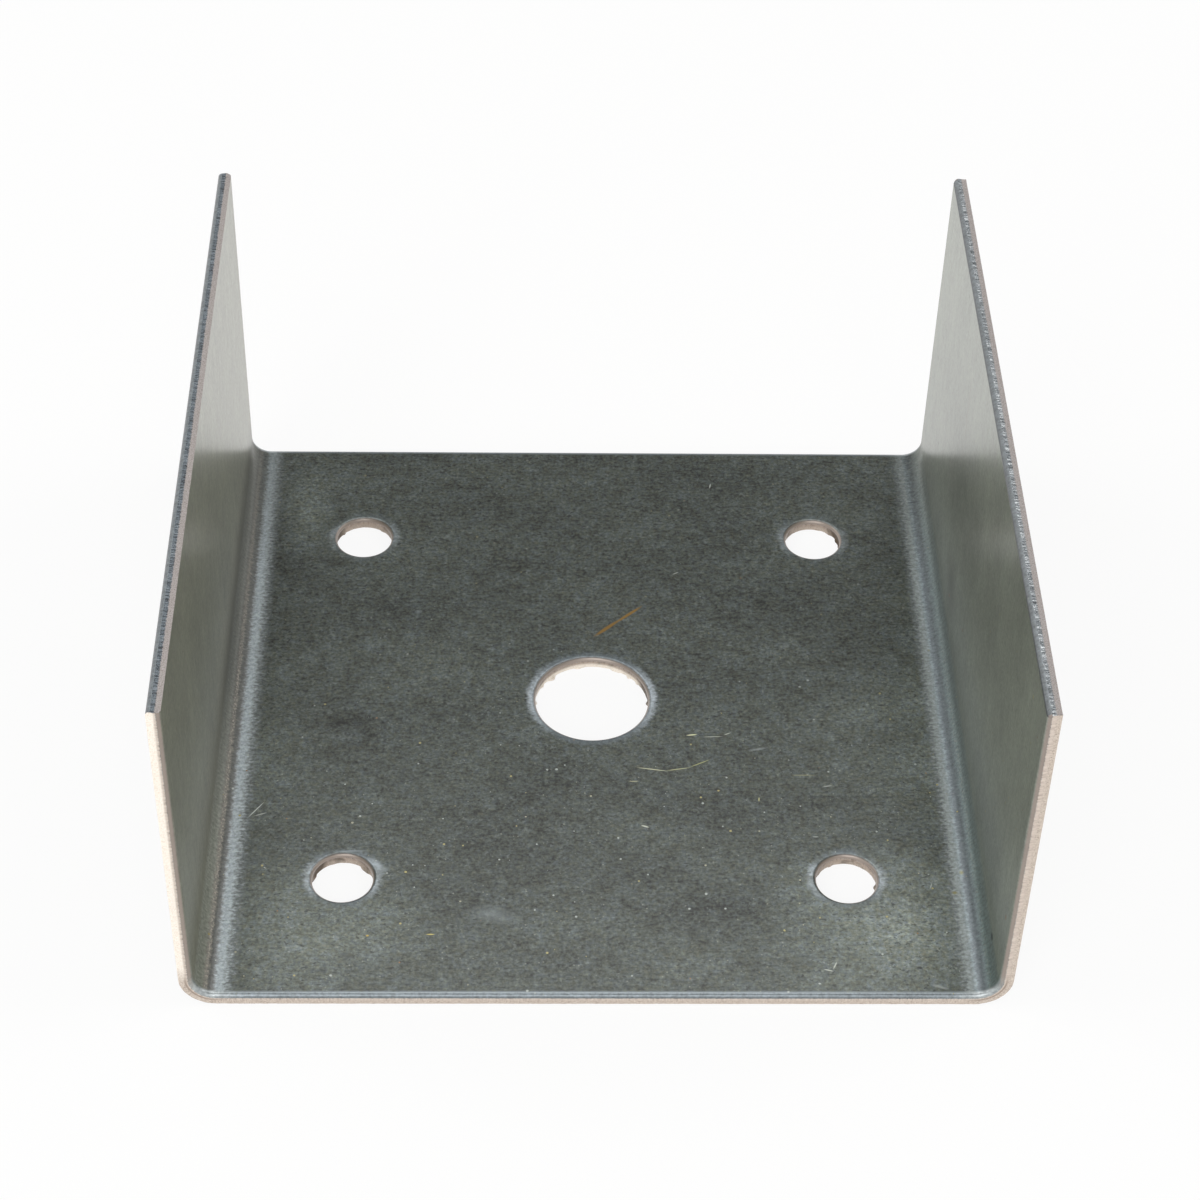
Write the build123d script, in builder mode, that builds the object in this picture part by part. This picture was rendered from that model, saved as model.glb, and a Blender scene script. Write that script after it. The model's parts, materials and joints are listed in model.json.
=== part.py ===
from build123d import *
import os

# Post bracket: one strip of galvanised sheet steel, folded up at both sides
# so that a square timber post stands between the two flanges.
# Millimetres. The origin is the centre of the underside. +X runs across,
# from flange to flange, +Y to the back along the folds, and +Z up.

# The post, and the room that it has between the flanges
post_width = 89.0
post_clearance = 1.5

# The strip: its thickness, its width along the folds, and the folds
sheet = 1.6
strip_width = 94.0
bend_radius = 2.5
flange_height = 47.0

# The holes punched in the base: one for the anchor bolt, four for screws
anchor_hole = 14.0
screw_hole = 7.1
screw_spacing_x = 59.0
screw_spacing_y = 59.0

# The rounding that a punch or a shear blade leaves where it enters the sheet,
# and the share of the thickness that this rounding may take at most
punch_roll = 0.5
shear_roll = 0.5
roll_share = 0.4

# Positions that follow from the sizes above
inner_side = (post_width + post_clearance) / 2
strip_end = strip_width / 2
deepest_roll = roll_share * sheet


def follows_inner_face(edge):
    """True for an edge that lies on the face towards the post, folds included."""
    middle = edge.center()
    off_the_face = inner_face.distance_to((middle.X, middle.Z, 0))
    return off_the_face < sheet / 10


with BuildPart() as post_bracket:
    # The section across the folds. The line drawn is the inner face of the
    # strip, and the thickness goes on outside it, so the inner and the outer
    # arc of a fold share their centre.
    with BuildSketch(Plane.XZ):
        with BuildLine():
            inner_face = FilletPolyline(
                (-inner_side, flange_height),
                (-inner_side, sheet),
                (inner_side, sheet),
                (inner_side, flange_height),
                radius=bend_radius,
            )
            offset(amount=sheet, side=Side.RIGHT)
        make_face()
    extrude(amount=strip_end, both=True)

    # The holes are punched in the flat strip, from the side that the post
    # will stand on, so each has its rounded rim there.
    with Locations((0, 0, sheet)):
        Hole(radius=anchor_hole / 2)
        with GridLocations(screw_spacing_x, screw_spacing_y, 2, 2):
            Hole(radius=screw_hole / 2)
    seat = post_bracket.faces().filter_by(Axis.Z).group_by(Axis.Z)[1][0]
    hole_rims = seat.inner_wires().edges()
    fillet(hole_rims, radius=min(punch_roll, deepest_roll))

    # Cutting the strip rounds its inner face along the front and back ends.
    # The flanges' top edges are cut from opposite sides: the blade enters the
    # right one from the inside and the left one from the outside.
    cut_ends = post_bracket.faces().filter_by(Axis.Y).group_by(Axis.Y)
    end_edges = cut_ends[0].edges() + cut_ends[-1].edges()
    flange_tops = post_bracket.faces().filter_by(Axis.Z).group_by(Axis.Z)[-1]
    top_edges = flange_tops.edges().filter_by(Axis.Y).group_by(Axis.X)
    left_outer_edge = top_edges[0]
    right_inner_edge = top_edges[2]
    sheared_edges = end_edges.filter_by(follows_inner_face)
    sheared_edges += left_outer_edge + right_inner_edge
    fillet(sheared_edges, radius=min(shear_roll, deepest_roll))

post_bracket.part.label = "post_bracket"

os.makedirs("parts", exist_ok=True)
export_step(post_bracket.part, "parts/post_bracket.step")

outside_width = 2 * (inner_side + sheet)
print(f"clear width between flanges {2 * inner_side:.1f} mm")
print(f"outside {outside_width:.1f} x {strip_width:.1f} x {flange_height:.1f} mm")
print(f"volume {post_bracket.part.volume:.0f} mm3")
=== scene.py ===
# %% [markdown]
# # A folded post bracket
#
# The bracket is one strip of galvanised sheet steel. It was sheared to length,
# punched with five holes and folded up at both sides. This lesson makes the
# same thing in the same order, and then gives the zinc and the cut steel their
# finish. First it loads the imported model, which fixes every size.

import json
import math

import bmesh
import bpy
from mathutils import Matrix, Vector, noise


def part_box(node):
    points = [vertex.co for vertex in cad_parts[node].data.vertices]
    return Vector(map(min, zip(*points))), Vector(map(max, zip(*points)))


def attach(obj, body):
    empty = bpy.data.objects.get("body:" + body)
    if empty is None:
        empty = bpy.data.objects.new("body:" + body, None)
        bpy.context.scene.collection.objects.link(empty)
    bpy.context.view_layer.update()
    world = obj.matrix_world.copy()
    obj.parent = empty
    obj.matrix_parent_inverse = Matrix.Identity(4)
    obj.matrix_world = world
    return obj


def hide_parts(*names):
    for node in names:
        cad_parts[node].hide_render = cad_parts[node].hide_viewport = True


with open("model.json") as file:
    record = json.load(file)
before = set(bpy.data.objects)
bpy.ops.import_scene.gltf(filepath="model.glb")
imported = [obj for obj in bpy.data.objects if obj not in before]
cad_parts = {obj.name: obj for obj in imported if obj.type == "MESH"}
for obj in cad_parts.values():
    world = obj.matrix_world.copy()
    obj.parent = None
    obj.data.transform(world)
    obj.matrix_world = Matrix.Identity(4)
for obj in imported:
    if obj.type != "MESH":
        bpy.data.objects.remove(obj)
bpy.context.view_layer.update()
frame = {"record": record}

# %% [markdown]
# ## Sizes
#
# Nothing is measured twice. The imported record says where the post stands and
# how large the holes are, and the box of the node gives the outside. Only the
# radius of the folds and the small rounding that the blade leaves are written
# here, because no mount names them. Blender works in metres.

# %% Sizes from the frame
MM = 0.001
mounts = {mount["name"]: mount for mount in frame["record"]["mounts"]}
box_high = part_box("post_bracket")[1]

SHEET = mounts["post_seat"]["pos_m"][2]
INNER_SIDE = mounts["right_flange_inside"]["pos_m"][0]
HALF_STRIP = box_high.y
HEIGHT = box_high.z
ANCHOR_RADIUS = mounts["anchor_hole"]["dims"]["r_mm"] * MM
SCREW_RADIUS = mounts["screw_holes"]["dims"]["hole_r_mm"] * MM
SCREW_X = mounts["screw_holes"]["dims"]["spacing_x_mm"] * MM / 2
SCREW_Y = mounts["screw_holes"]["dims"]["spacing_y_mm"] * MM / 2

FOLD_RADIUS = 2.5 * MM
ROLL = 0.5 * MM

# The folds start and end here, and this much of the flat strip goes round each.
FOLD_START = INNER_SIDE - FOLD_RADIUS
FOLD_TOP = SHEET + FOLD_RADIUS
FOLD_RUN = FOLD_RADIUS * math.pi / 2
HOLES = [(0.0, 0.0, ANCHOR_RADIUS)]
HOLES += [(x, y, SCREW_RADIUS) for x in (-SCREW_X, SCREW_X) for y in (-SCREW_Y, SCREW_Y)]

# Two places that are nearer than this count as one.
TINY = 0.001 * MM

print("sheet", round(SHEET / MM, 2), "mm, clear width", round(2 * INNER_SIDE / MM, 2), "mm")

# %% [markdown]
# ## The punched plate
#
# On the real bracket the holes are punched while the strip is flat. The flat
# part between the folds is made first: its outline and the five circles are
# plain edges, and one triangle fill spans what lies between them. A Boolean
# could cut the holes too, but a fill keeps every rim as clean as it was drawn.
# The front and back edges have a point every third of a millimetre, because
# their broken surface needs them later.

# %% Punch the plate
EDGE_PITCH = 0.35 * MM
RIM_PITCH = 0.2 * MM


def punched_plate():
    """The flat part between the folds, one sheet thick, with its holes."""
    bm = bmesh.new()
    bmesh.ops.create_grid(bm, x_segments=1, y_segments=1, size=1.0)
    bmesh.ops.scale(bm, vec=(FOLD_START, HALF_STRIP, 1.0), verts=bm.verts)
    bmesh.ops.delete(bm, geom=bm.faces[:], context="FACES_ONLY")
    ends = [e for e in bm.edges if abs(e.verts[0].co.y - e.verts[1].co.y) < TINY]
    bmesh.ops.subdivide_edges(bm, edges=ends, cuts=round(2 * FOLD_START / EDGE_PITCH))
    for x, y, radius in HOLES:
        around = round(2 * math.pi * radius / RIM_PITCH)
        centre = Matrix.Translation((x, y, 0))
        bmesh.ops.create_circle(bm, cap_ends=False, segments=around, radius=radius, matrix=centre)
    bmesh.ops.triangle_fill(bm, use_beauty=True, edges=bm.edges[:], normal=(0, 0, 1))
    top = bmesh.ops.extrude_face_region(bm, geom=bm.faces[:])["geom"]
    risen = [v for v in top if isinstance(v, bmesh.types.BMVert)]
    bmesh.ops.translate(bm, verts=risen, vec=(0, 0, SHEET))
    bmesh.ops.recalc_face_normals(bm, faces=bm.faces[:])
    return bm


bracket_bm = punched_plate()
print("the plate has", len(bracket_bm.faces), "faces")

# %% [markdown]
# ## The folds
#
# A press brake turns each side of the strip about one line. Spin does the same
# with the end face of the plate: it turns a quarter about the centre of the
# fold and leaves the curved sheet behind it. Both skins of the fold then share
# one centre, so the sheet keeps its thickness. A straight extrusion makes the
# rest of the flange.

# %% Fold the flanges up
FOLD_STEPS = 14


def fold_up(bm, side):
    """Turns the plate's end face on one side, -1 or 1, and draws the flange up from it."""
    end = [f for f in bm.faces if abs(f.calc_center_median().x - side * FOLD_START) < TINY]
    end_edges = list({edge for face in end for edge in face.edges})
    end_points = list({vert for face in end for vert in face.verts})
    turned = bmesh.ops.spin(
        bm,
        geom=end + end_edges + end_points,
        cent=(side * FOLD_START, 0, FOLD_TOP),
        axis=(0, 1, 0),
        angle=-side * math.pi / 2,
        steps=FOLD_STEPS,
        use_merge=False,
        use_duplicate=False,
    )["geom_last"]
    lip = [f for f in turned if isinstance(f, bmesh.types.BMFace)]
    drawn = bmesh.ops.extrude_face_region(bm, geom=lip)["geom"]
    top = [v for v in drawn if isinstance(v, bmesh.types.BMVert)]
    bmesh.ops.translate(bm, verts=top, vec=(0, 0, HEIGHT - FOLD_TOP))
    bmesh.ops.delete(bm, geom=lip, context="FACES_ONLY")


fold_up(bracket_bm, -1)
fold_up(bracket_bm, 1)
bmesh.ops.recalc_face_normals(bracket_bm, faces=bracket_bm.faces[:])
open_edges = sum(edge.is_boundary for edge in bracket_bm.edges)
print("folded:", len(bracket_bm.faces), "faces, open edges", open_edges)

# %% [markdown]
# ## Where a point was in the flat strip
#
# Rolling streaks, scratches and the blade's marks all belong to the flat
# strip, and the folds only carried them along. This function gives the place
# that a point had before folding: how far it is across the strip, and how deep
# it lies below the face towards the post. The selections below use it, and so
# do the materials.


# %% Unfold a point
def unfolded(point):
    """(run, depth) of a point: its distance across the flat strip, and below the inner face."""
    side = math.copysign(1.0, point.x)
    x = abs(point.x)
    if x <= FOLD_START:
        return side * x, SHEET - point.z
    if point.z >= FOLD_TOP:
        return side * (FOLD_START + FOLD_RUN + point.z - FOLD_TOP), x - INNER_SIDE
    out = Vector((x - FOLD_START, FOLD_TOP - point.z))
    turn = math.atan2(out.x, out.y)
    return side * (FOLD_START + FOLD_RADIUS * turn), out.length - FOLD_RADIUS


half_length = unfolded(Vector((INNER_SIDE, 0, HEIGHT)))[0]
print("the strip was", round(2 * half_length / MM, 1), "mm long when flat")

# %% [markdown]
# ## Rounded where the blade went in
#
# A shear or a punch first pulls the sheet down before it cuts, and that leaves
# a small rounding on the side where it enters. On this bracket it runs along
# the inner face at the front and back, round each hole, and on opposite sides
# of the two flanges' top edges. A bevel with six segments and a profile of 0.5
# is that quarter round.

# %% Round the blade's side
ROLL_STEPS = 6


def lies_on(point, x, y, radius):
    """True for a point on the round wall of a hole."""
    return abs(math.hypot(point.x - x, point.y - y) - radius) < 5 * TINY


def is_hole_rim(a, b):
    """True where both ends of an edge lie on the upper rim of one hole."""
    at_seat = min(a.z, b.z) > SHEET - TINY and max(a.z, b.z) < SHEET + TINY
    return at_seat and any(lies_on(a, *hole) and lies_on(b, *hole) for hole in HOLES)


def is_rolled(edge):
    """True for an edge that the punch or the shear blade rounded."""
    a, b = (v.co for v in edge.verts)
    depths = [unfolded(a)[1], unfolded(b)[1]]
    at_end = min(abs(a.y), abs(b.y)) > HALF_STRIP - TINY
    if at_end and a.y * b.y > 0:
        return max(depths) < TINY
    if at_end and min(a.z, b.z) > HEIGHT - TINY:
        return min(depths) > SHEET - TINY if a.x < 0 else max(depths) < TINY
    return is_hole_rim(a, b)


rolled = [e for e in bracket_bm.edges if is_rolled(e)]
bmesh.ops.bevel(
    bracket_bm,
    geom=rolled,
    offset=ROLL,
    offset_type="OFFSET",
    affect="EDGES",
    segments=ROLL_STEPS,
    profile=0.5,
    material=-1,
)
open_edges = sum(edge.is_boundary for edge in bracket_bm.edges)
print("rounded", len(rolled), "edges, open edges", open_edges)

# %% [markdown]
# ## Rows for the broken surface
#
# Below the rounding the steel is first cut smooth and then breaks. To shape
# that break the cut faces need rows of points: along the flanges' long edges,
# along their tops, and through the thickness.

# %% Divide the cut faces
THICKNESS_ROWS = 8


def span(edge):
    """How far an edge reaches along X, Y and Z."""
    a, b = (v.co for v in edge.verts)
    return Vector((abs(a.x - b.x), abs(a.y - b.y), abs(a.z - b.z)))


def depth_span(edge):
    """How far an edge reaches through the thickness of the sheet."""
    return abs(unfolded(edge.verts[0].co)[1] - unfolded(edge.verts[1].co)[1])


long_up = [e for e in bracket_bm.edges if span(e).z > 0.8 * (HEIGHT - FOLD_TOP)]
along_tops = [
    e
    for e in bracket_bm.edges
    if span(e).y > HALF_STRIP and min(v.co.z for v in e.verts) > HEIGHT - ROLL - TINY
]
bmesh.ops.subdivide_edges(bracket_bm, edges=long_up, cuts=round((HEIGHT - FOLD_TOP) / EDGE_PITCH))
bmesh.ops.subdivide_edges(bracket_bm, edges=along_tops, cuts=round(2 * HALF_STRIP / EDGE_PITCH))
through = [e for e in bracket_bm.edges if depth_span(e) > 0.6 * ROLL]
bmesh.ops.subdivide_edges(bracket_bm, edges=through, cuts=THICKNESS_ROWS, use_grid_fill=True)
print("divided:", len(bracket_bm.faces), "faces")

# %% [markdown]
# ## What each point remembers
#
# The finish has to follow the sheet through the folds, and the cut faces need a
# finish of their own. So the mesh keeps notes, taken now, while every surface is
# still where the blade left it. Each point keeps its place in the flat strip,
# in millimetres. Each corner of a cut face keeps its distance from the side
# where the blade went in. And each face keeps which of two finishes it has.

# %% Store the flat strip on the mesh
ZINC_COAT = 0
CUT_STEEL = 1


def cut_of(face):
    """Which cut made a face: end, top or hole. None for the zinc-coated skin."""
    spots = [v.co for v in face.verts]
    at_back = min(spot.y for spot in spots) > HALF_STRIP - TINY
    at_front = max(spot.y for spot in spots) < TINY - HALF_STRIP
    if at_back or at_front:
        return "end"
    if min(spot.z for spot in spots) > HEIGHT - TINY:
        return "top"
    if any(all(lies_on(spot, *hole) for spot in spots) for hole in HOLES):
        return "hole"
    return None


def take_notes(bm):
    """Stores the flat strip, the blade's distance and the finish. Counts the cut faces."""
    flat_mm = bm.verts.layers.float_vector.new("flat_mm")
    blade_mm = bm.loops.layers.float.new("blade_mm")
    for vert in bm.verts:
        run, depth = unfolded(vert.co)
        vert[flat_mm] = Vector((run, vert.co.y, depth)) / MM
    for face in bm.faces:
        cut = cut_of(face)
        face.material_index = ZINC_COAT if cut is None else CUT_STEEL
        for corner in face.loops:
            depth = unfolded(corner.vert.co)[1]
            from_outside = cut == "top" and corner.vert.co.x < 0
            corner[blade_mm] = (SHEET - depth if from_outside else depth) / MM
    return sum(face.material_index == CUT_STEEL for face in bm.faces)


print("cut faces:", take_notes(bracket_bm), "of", len(bracket_bm.faces))

# %% [markdown]
# ## The broken edge
#
# The half of a sheared face away from the blade is torn, not cut. It leans back
# a little, is rough to the touch, and ends in a burr. A Displace modifier would
# push the points along their normals, out of the metal as well as in. So each
# point of a cut face is moved straight back instead. For that the script has to
# know which way is out of the metal: the middle of the hole, the nearer end, or
# up.


# %% Find the way out of the metal
def cut_direction(point):
    """The way out of the metal, the distance from the blade's side, and True in a hole."""
    depth = unfolded(point)[1]
    for x, y, radius in HOLES:
        if lies_on(point, x, y, radius):
            return Vector((x - point.x, y - point.y, 0)).normalized(), depth, True
    if abs(point.y) > HALF_STRIP - TINY:
        return Vector((0, math.copysign(1.0, point.y), 0)), depth, False
    if point.z > HEIGHT - TINY:
        return Vector((0, 0, 1)), SHEET - depth if point.x < 0 else depth, False
    return None


cut_points = sum(cut_direction(vert.co) is not None for vert in bracket_bm.verts)
print("points on the cut faces:", cut_points)

# %% [markdown]
# Each point goes back by noise that grows with its distance from the blade's
# side, a coarse one and a fine one. In the holes the burr stands into the
# opening here and there, as it does on the real bracket. Noises are given per
# metre: 2600 is a bump of 0.4 mm, and 900 a tooth of 1.1 mm.

# %% Tear the cut faces
CUT_SMOOTH = 0.7 * MM
LEAN = 0.07 * MM
ROUGHNESS_DEPTH = 0.035 * MM
TEAR_SCALE = 2600
FINE_TEAR_SCALE = 6100
FINE_TEAR_SHARE = 0.6
HOLE_BURR = 0.3 * MM
BURR_ROWS = 0.35 * MM
TOOTH_SCALE = 900
TOOTH_FROM = 0.05


def tear(bm):
    """Moves the points of the cut faces and gives their number."""
    moves = {}
    for vert in bm.verts:
        found = cut_direction(vert.co)
        if found is None:
            continue
        out, reached, in_hole = found
        torn = min(1.0, max(0.0, (reached - CUT_SMOOTH) / (SHEET - CUT_SMOOTH)))
        if torn == 0.0:
            continue
        grain = noise.noise(vert.co * TEAR_SCALE)
        grain += FINE_TEAR_SHARE * noise.noise(vert.co * FINE_TEAR_SCALE)
        back = torn * LEAN + min(1.0, 4 * torn) * ROUGHNESS_DEPTH * (1 + grain)
        if in_hole and reached > SHEET - BURR_ROWS:
            tooth = noise.noise(Vector((vert.co.x, vert.co.y, 0)) * TOOTH_SCALE) - TOOTH_FROM
            near_rim = (reached - SHEET + BURR_ROWS) / BURR_ROWS
            back -= HOLE_BURR * near_rim * max(0.0, tooth) * 2
        moves[vert] = -out * back
    for vert, move in moves.items():
        vert.co += move
    return len(moves)


print("moved", tear(bracket_bm), "points of the cut faces")

# %% [markdown]
# ## The piece
#
# The finished mesh becomes one object, at the origin and unturned, because its
# place is in its points. It rides on the body called root and stands for the
# solid of the same part. Edges that turn by more than 35 degrees stay sharp.
# The other normals are weighted by area, so the large flats stay flat right up
# to the roundings.

# %% Make the object
SHARP_FROM = math.radians(35)

bracket_mesh = bpy.data.meshes.new("folded_bracket")
bracket_bm.to_mesh(bracket_mesh)
bracket_bm.free()
bracket_mesh.shade_smooth()
bracket_mesh.set_sharp_from_angle(angle=SHARP_FROM)

bracket = bpy.data.objects.new("folded_bracket", bracket_mesh)
bpy.context.scene.collection.objects.link(bracket)
flat_normals = bracket.modifiers.new("flats stay flat", "WEIGHTED_NORMAL")
flat_normals.mode = "FACE_AREA"
flat_normals.keep_sharp = True

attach(bracket, "root")
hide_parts("post_bracket")
print("the piece has", sum(len(face.vertices) - 2 for face in bracket_mesh.polygons), "triangles")

# %% [markdown]
# ## Colours and nodes
#
# A material is a small tree of nodes. One helper adds a node, sets it up and
# links its inputs. Another turns a colour as a paint chart writes it into the
# linear values that light works with.
#
# An input is called by its label, or by its number where the node has several
# alike. A Math node's values are 0, 1 and 2. A Mix node has its factor at 0,
# and then A and B: 2 and 3 for numbers, 4 and 5 for vectors, 6 and 7 for
# colours. Its outputs are 0, 1 and 2 in the same order.


# %% Two helpers
def paint(code, cover=1.0):
    """The linear values of an sRGB colour such as "#5A605E", and how much it covers."""
    parts = [int(code[i : i + 2], 16) / 255 for i in (1, 3, 5)]
    return [c / 12.92 if c <= 0.04045 else ((c + 0.055) / 1.055) ** 2.4 for c in parts] + [cover]


def add_node(tree, kind, inputs=None, stops=None, **settings):
    """Adds a node. An input is a value, a socket, or a node that gives its first output."""
    node = tree.nodes.new(kind)
    for name, value in settings.items():
        setattr(node, name, value)
    for name, value in (inputs or {}).items():
        source = value.outputs[0] if isinstance(value, bpy.types.Node) else value
        if isinstance(source, bpy.types.NodeSocket):
            tree.links.new(source, node.inputs[name])
        else:
            node.inputs[name].default_value = source
    if stops:
        ramp = node.color_ramp.elements
        ramp.remove(ramp[1])
        ramp[0].position, ramp[0].color = stops[0]
        for place, colour in stops[1:]:
            ramp.new(place).color = colour
    return node


print("a mid grey such as #808080 is", round(paint("#808080")[0], 3), "in linear values")

# %% [markdown]
# ## Galvanised steel sheet: the zinc coat
#
# The strip was dipped in molten zinc and then lightly rolled, so it has no large
# crystals. Up close the zinc is a grain of light and dark flecks, a little drawn
# out across the bracket where the rolls pulled it. To the eye it is a dull, dark
# metal, greener where it is dark and bluer where it is light.
#
# An image of real zinc could be laid on, but it would repeat and would need the
# folds unwrapped. So the grain is made of two noises: a round one, and one that
# a Mapping node draws out. They are laid on the flat strip, in millimetres, so
# they run on through the folds: a noise of scale 3 has 3 flecks to the
# millimetre. The real grain goes down to a few hundredths of a millimetre, which
# is too fine to show, so its flecks are drawn 0.4 mm wide.

# %% Spread the grain
GRAIN = 0.42
STREAK_LONG = 1.3
STREAK_WIDE = 0.34

zinc = bpy.data.materials.new("galvanised_zinc_coat")
zinc.use_nodes = True
tree = zinc.node_tree
tree.nodes.clear()

flat = add_node(tree, "ShaderNodeAttribute", attribute_name="flat_mm").outputs["Vector"]
drawn_out = add_node(
    tree,
    "ShaderNodeMapping",
    {"Vector": flat, "Scale": (1 / STREAK_LONG, 1 / STREAK_WIDE, 1.0)},
)
streaks = add_node(
    tree,
    "ShaderNodeTexNoise",
    {"Vector": drawn_out, "Scale": 1.0, "Detail": 2.0, "Roughness": 0.5, "Distortion": 0.9},
)
grain = add_node(
    tree,
    "ShaderNodeTexNoise",
    {"Vector": flat, "Scale": 1 / GRAIN, "Detail": 2.0, "Roughness": 0.65},
)
print("nodes in the zinc so far:", len(tree.nodes))

# %% [markdown]
# Over the grain lie blotches of a millimetre, patches of a few, and soft clouds
# of a centimetre. The detail of one noise could give all of them, but it gets
# weaker evenly from size to size, and zinc's patches don't. So each size is a
# noise of its own.

# %% Lay blotches, patches and clouds over it
BLOTCH = 0.95
PATCH = 2.6
CLOUD = 11.0

patches = add_node(
    tree,
    "ShaderNodeTexNoise",
    {"Vector": flat, "Scale": 1 / PATCH, "Detail": 3.0, "Roughness": 0.65, "Distortion": 0.4},
)
cloud_places = add_node(
    tree,
    "ShaderNodeMapping",
    {"Vector": flat, "Scale": (0.5 / CLOUD, 1 / CLOUD, 1 / CLOUD)},
)
clouds = add_node(
    tree,
    "ShaderNodeTexNoise",
    {"Vector": cloud_places, "Scale": 1.0, "Detail": 2.0, "Roughness": 0.5},
)
blotches = add_node(
    tree,
    "ShaderNodeTexNoise",
    {"Vector": flat, "Scale": 1 / BLOTCH, "Detail": 2.0, "Roughness": 0.6, "Distortion": 0.7},
)
print("nodes in the zinc so far:", len(tree.nodes))

# %% [markdown]
# All the noises are added up, each with its share, and later on a ramp turns the
# sum into a grey. With one ramp for the sum, a fleck in a dark cloud is darker
# than the same fleck in a light one, as on the real sheet.

# %% Add them up
STREAK_SHARE = 0.4
FINE_SHARE = 0.75
COARSE_SHARE = 0.4

fine = add_node(
    tree, "ShaderNodeMath", {0: streaks, 1: STREAK_SHARE, 2: grain}, operation="MULTIPLY_ADD"
)
shade = add_node(tree, "ShaderNodeMath", {0: fine, 1: FINE_SHARE}, operation="MULTIPLY")
for coarser in (blotches, patches, clouds):
    shade = add_node(
        tree, "ShaderNodeMath", {0: coarser, 1: COARSE_SHARE, 2: shade}, operation="MULTIPLY_ADD"
    )
print("the sum of noises has", len(tree.nodes), "nodes")

# %% [markdown]
# ## Washes and painted light
#
# Soft lifts shift the sum of noises before it becomes a colour, so the grain
# keeps its contrast there. The first four are painted light, lifting the front
# corners and the sides of the base. The next two are painted shade on the right
# flange. The last five lighten or darken smaller soft areas. Each is an ellipse
# on the inner face: its middle, half length and half width in millimetres of the
# flat strip, its turn in degrees, and its lift at the middle. A Mapping node of
# the texture kind brings the ellipse back to a circle of radius 1, so the
# vector's length tells how far out a point is.

# %% Lay the washes and the painted light
PAINTED_LIGHT_AND_WASHES = [
    # painted light: the front corners and the sides of the base
    (-35.0, -38.0, 16.0, 14.0, 0, 0.3),
    (35.0, -38.0, 16.0, 14.0, 0, 0.43),
    (-40.0, -12.0, 10.0, 20.0, 0, 0.17),
    (40.0, -10.0, 10.0, 22.0, 0, 0.18),
    # painted shade on the right flange
    (68.0, 14.0, 12.0, 26.0, 0, -0.25),
    (52.0, -30.0, 8.0, 22.0, 0, -0.22),
    # smaller soft areas, lighter or darker
    (-37.0, 34.0, 3.5, 9.0, 0, 0.2),
    (42.0, 5.0, 3.5, 30.0, 0, 0.13),
    (-30.5, -4.0, 6.0, 2.2, 5, -0.07),
    (12.0, -34.0, 9.0, 2.0, 2, -0.07),
    (30.0, -35.0, 6.0, 1.2, 3, -0.08),
]
OUTER = 1.1


def out_from(x, y, half_long, half_wide, turn):
    """A socket whose value is 0 in the middle of an ellipse and 1 on its edge."""
    rounded = add_node(
        tree,
        "ShaderNodeMapping",
        {
            "Vector": flat,
            "Location": (x, y, 0.0),
            "Rotation": (0.0, 0.0, math.radians(turn)),
            "Scale": (half_long, half_wide, SHEET / MM / 2),
        },
        vector_type="TEXTURE",
    )
    distance = add_node(tree, "ShaderNodeVectorMath", {0: rounded}, operation="LENGTH")
    return distance.outputs["Value"]


for *ellipse, lift in PAINTED_LIGHT_AND_WASHES:
    wash_and_painted_light = add_node(
        tree,
        "ShaderNodeMapRange",
        {"Value": out_from(*ellipse), "From Min": OUTER, "From Max": 0.0, "To Max": lift},
    )
    shade = add_node(tree, "ShaderNodeMath", {0: shade, 1: wash_and_painted_light}, operation="ADD")
print(len(PAINTED_LIGHT_AND_WASHES), "washes laid")

# %% [markdown]
# ## From the sum to a grey
#
# A map range scales the useful part of the sum to 0 and 1, and a colour ramp
# gives each value its grey. The ramp is steep at its dark end, so that hollows
# between the grains are almost black.

# %% Turn the sum into greys
DARKEST_AT = 0.82
LIGHTEST_AT = 1.92

depth_of_grey = add_node(
    tree,
    "ShaderNodeMapRange",
    {"Value": shade, "From Min": DARKEST_AT, "From Max": LIGHTEST_AT},
)
greys = add_node(
    tree,
    "ShaderNodeValToRGB",
    {"Fac": depth_of_grey},
    stops=[
        (0.0, paint("#090A09")),
        (0.084, paint("#1A1C1A")),
        (0.18, paint("#303330")),
        (0.288, paint("#3F423F")),
        (0.42, paint("#4F524F")),
        (0.6, paint("#696C69")),
        (1.0, paint("#A3A6A3")),
    ],
)
print("nodes in the zinc so far:", len(tree.nodes))

# %% [markdown]
# ## The tint of the zinc
#
# Zinc is never one grey. Thin oxide films tint it yellow, green and blue in
# flecks of half a millimetre, and its lighter patches lean to blue. A finer
# noise is added to the patches, and a ramp of pale colours multiplies the grey.

# %% Tint the grey
TINT = 0.6

tints = add_node(
    tree,
    "ShaderNodeTexNoise",
    {"Vector": flat, "Scale": 1 / TINT, "Detail": 3.0, "Roughness": 0.7},
)
hue_place = add_node(
    tree, "ShaderNodeMath", {0: patches, 1: 0.5, 2: tints}, operation="MULTIPLY_ADD"
)
hue_share = add_node(
    tree, "ShaderNodeMapRange", {"Value": hue_place, "From Min": 0.45, "From Max": 1.05}
)
hues = add_node(
    tree,
    "ShaderNodeValToRGB",
    {"Fac": hue_share},
    stops=[
        (0.1, paint("#FFFADC")),
        (0.35, paint("#FAFFEC")),
        (0.55, paint("#F5FFFA")),
        (0.8, paint("#E6F3FF")),
    ],
)
skin = add_node(
    tree,
    "ShaderNodeMix",
    {0: 1.0, 6: greys, 7: hues},
    data_type="RGBA",
    blend_type="MULTIPLY",
).outputs[2]
print("nodes in the zinc so far:", len(tree.nodes))

# %% [markdown]
# ## Pits and blooms
#
# Here and there the coat has a dark hollow, and here and there a pale bloom of
# white rust that was wiped thin. Both are places where a noise of their own size
# rises above a level, so they stand alone and don't cover the sheet.

# %% Add pits and blooms
PIT_LONG = 0.7
PIT_WIDE = 0.4
BLOOM = 1.5

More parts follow.
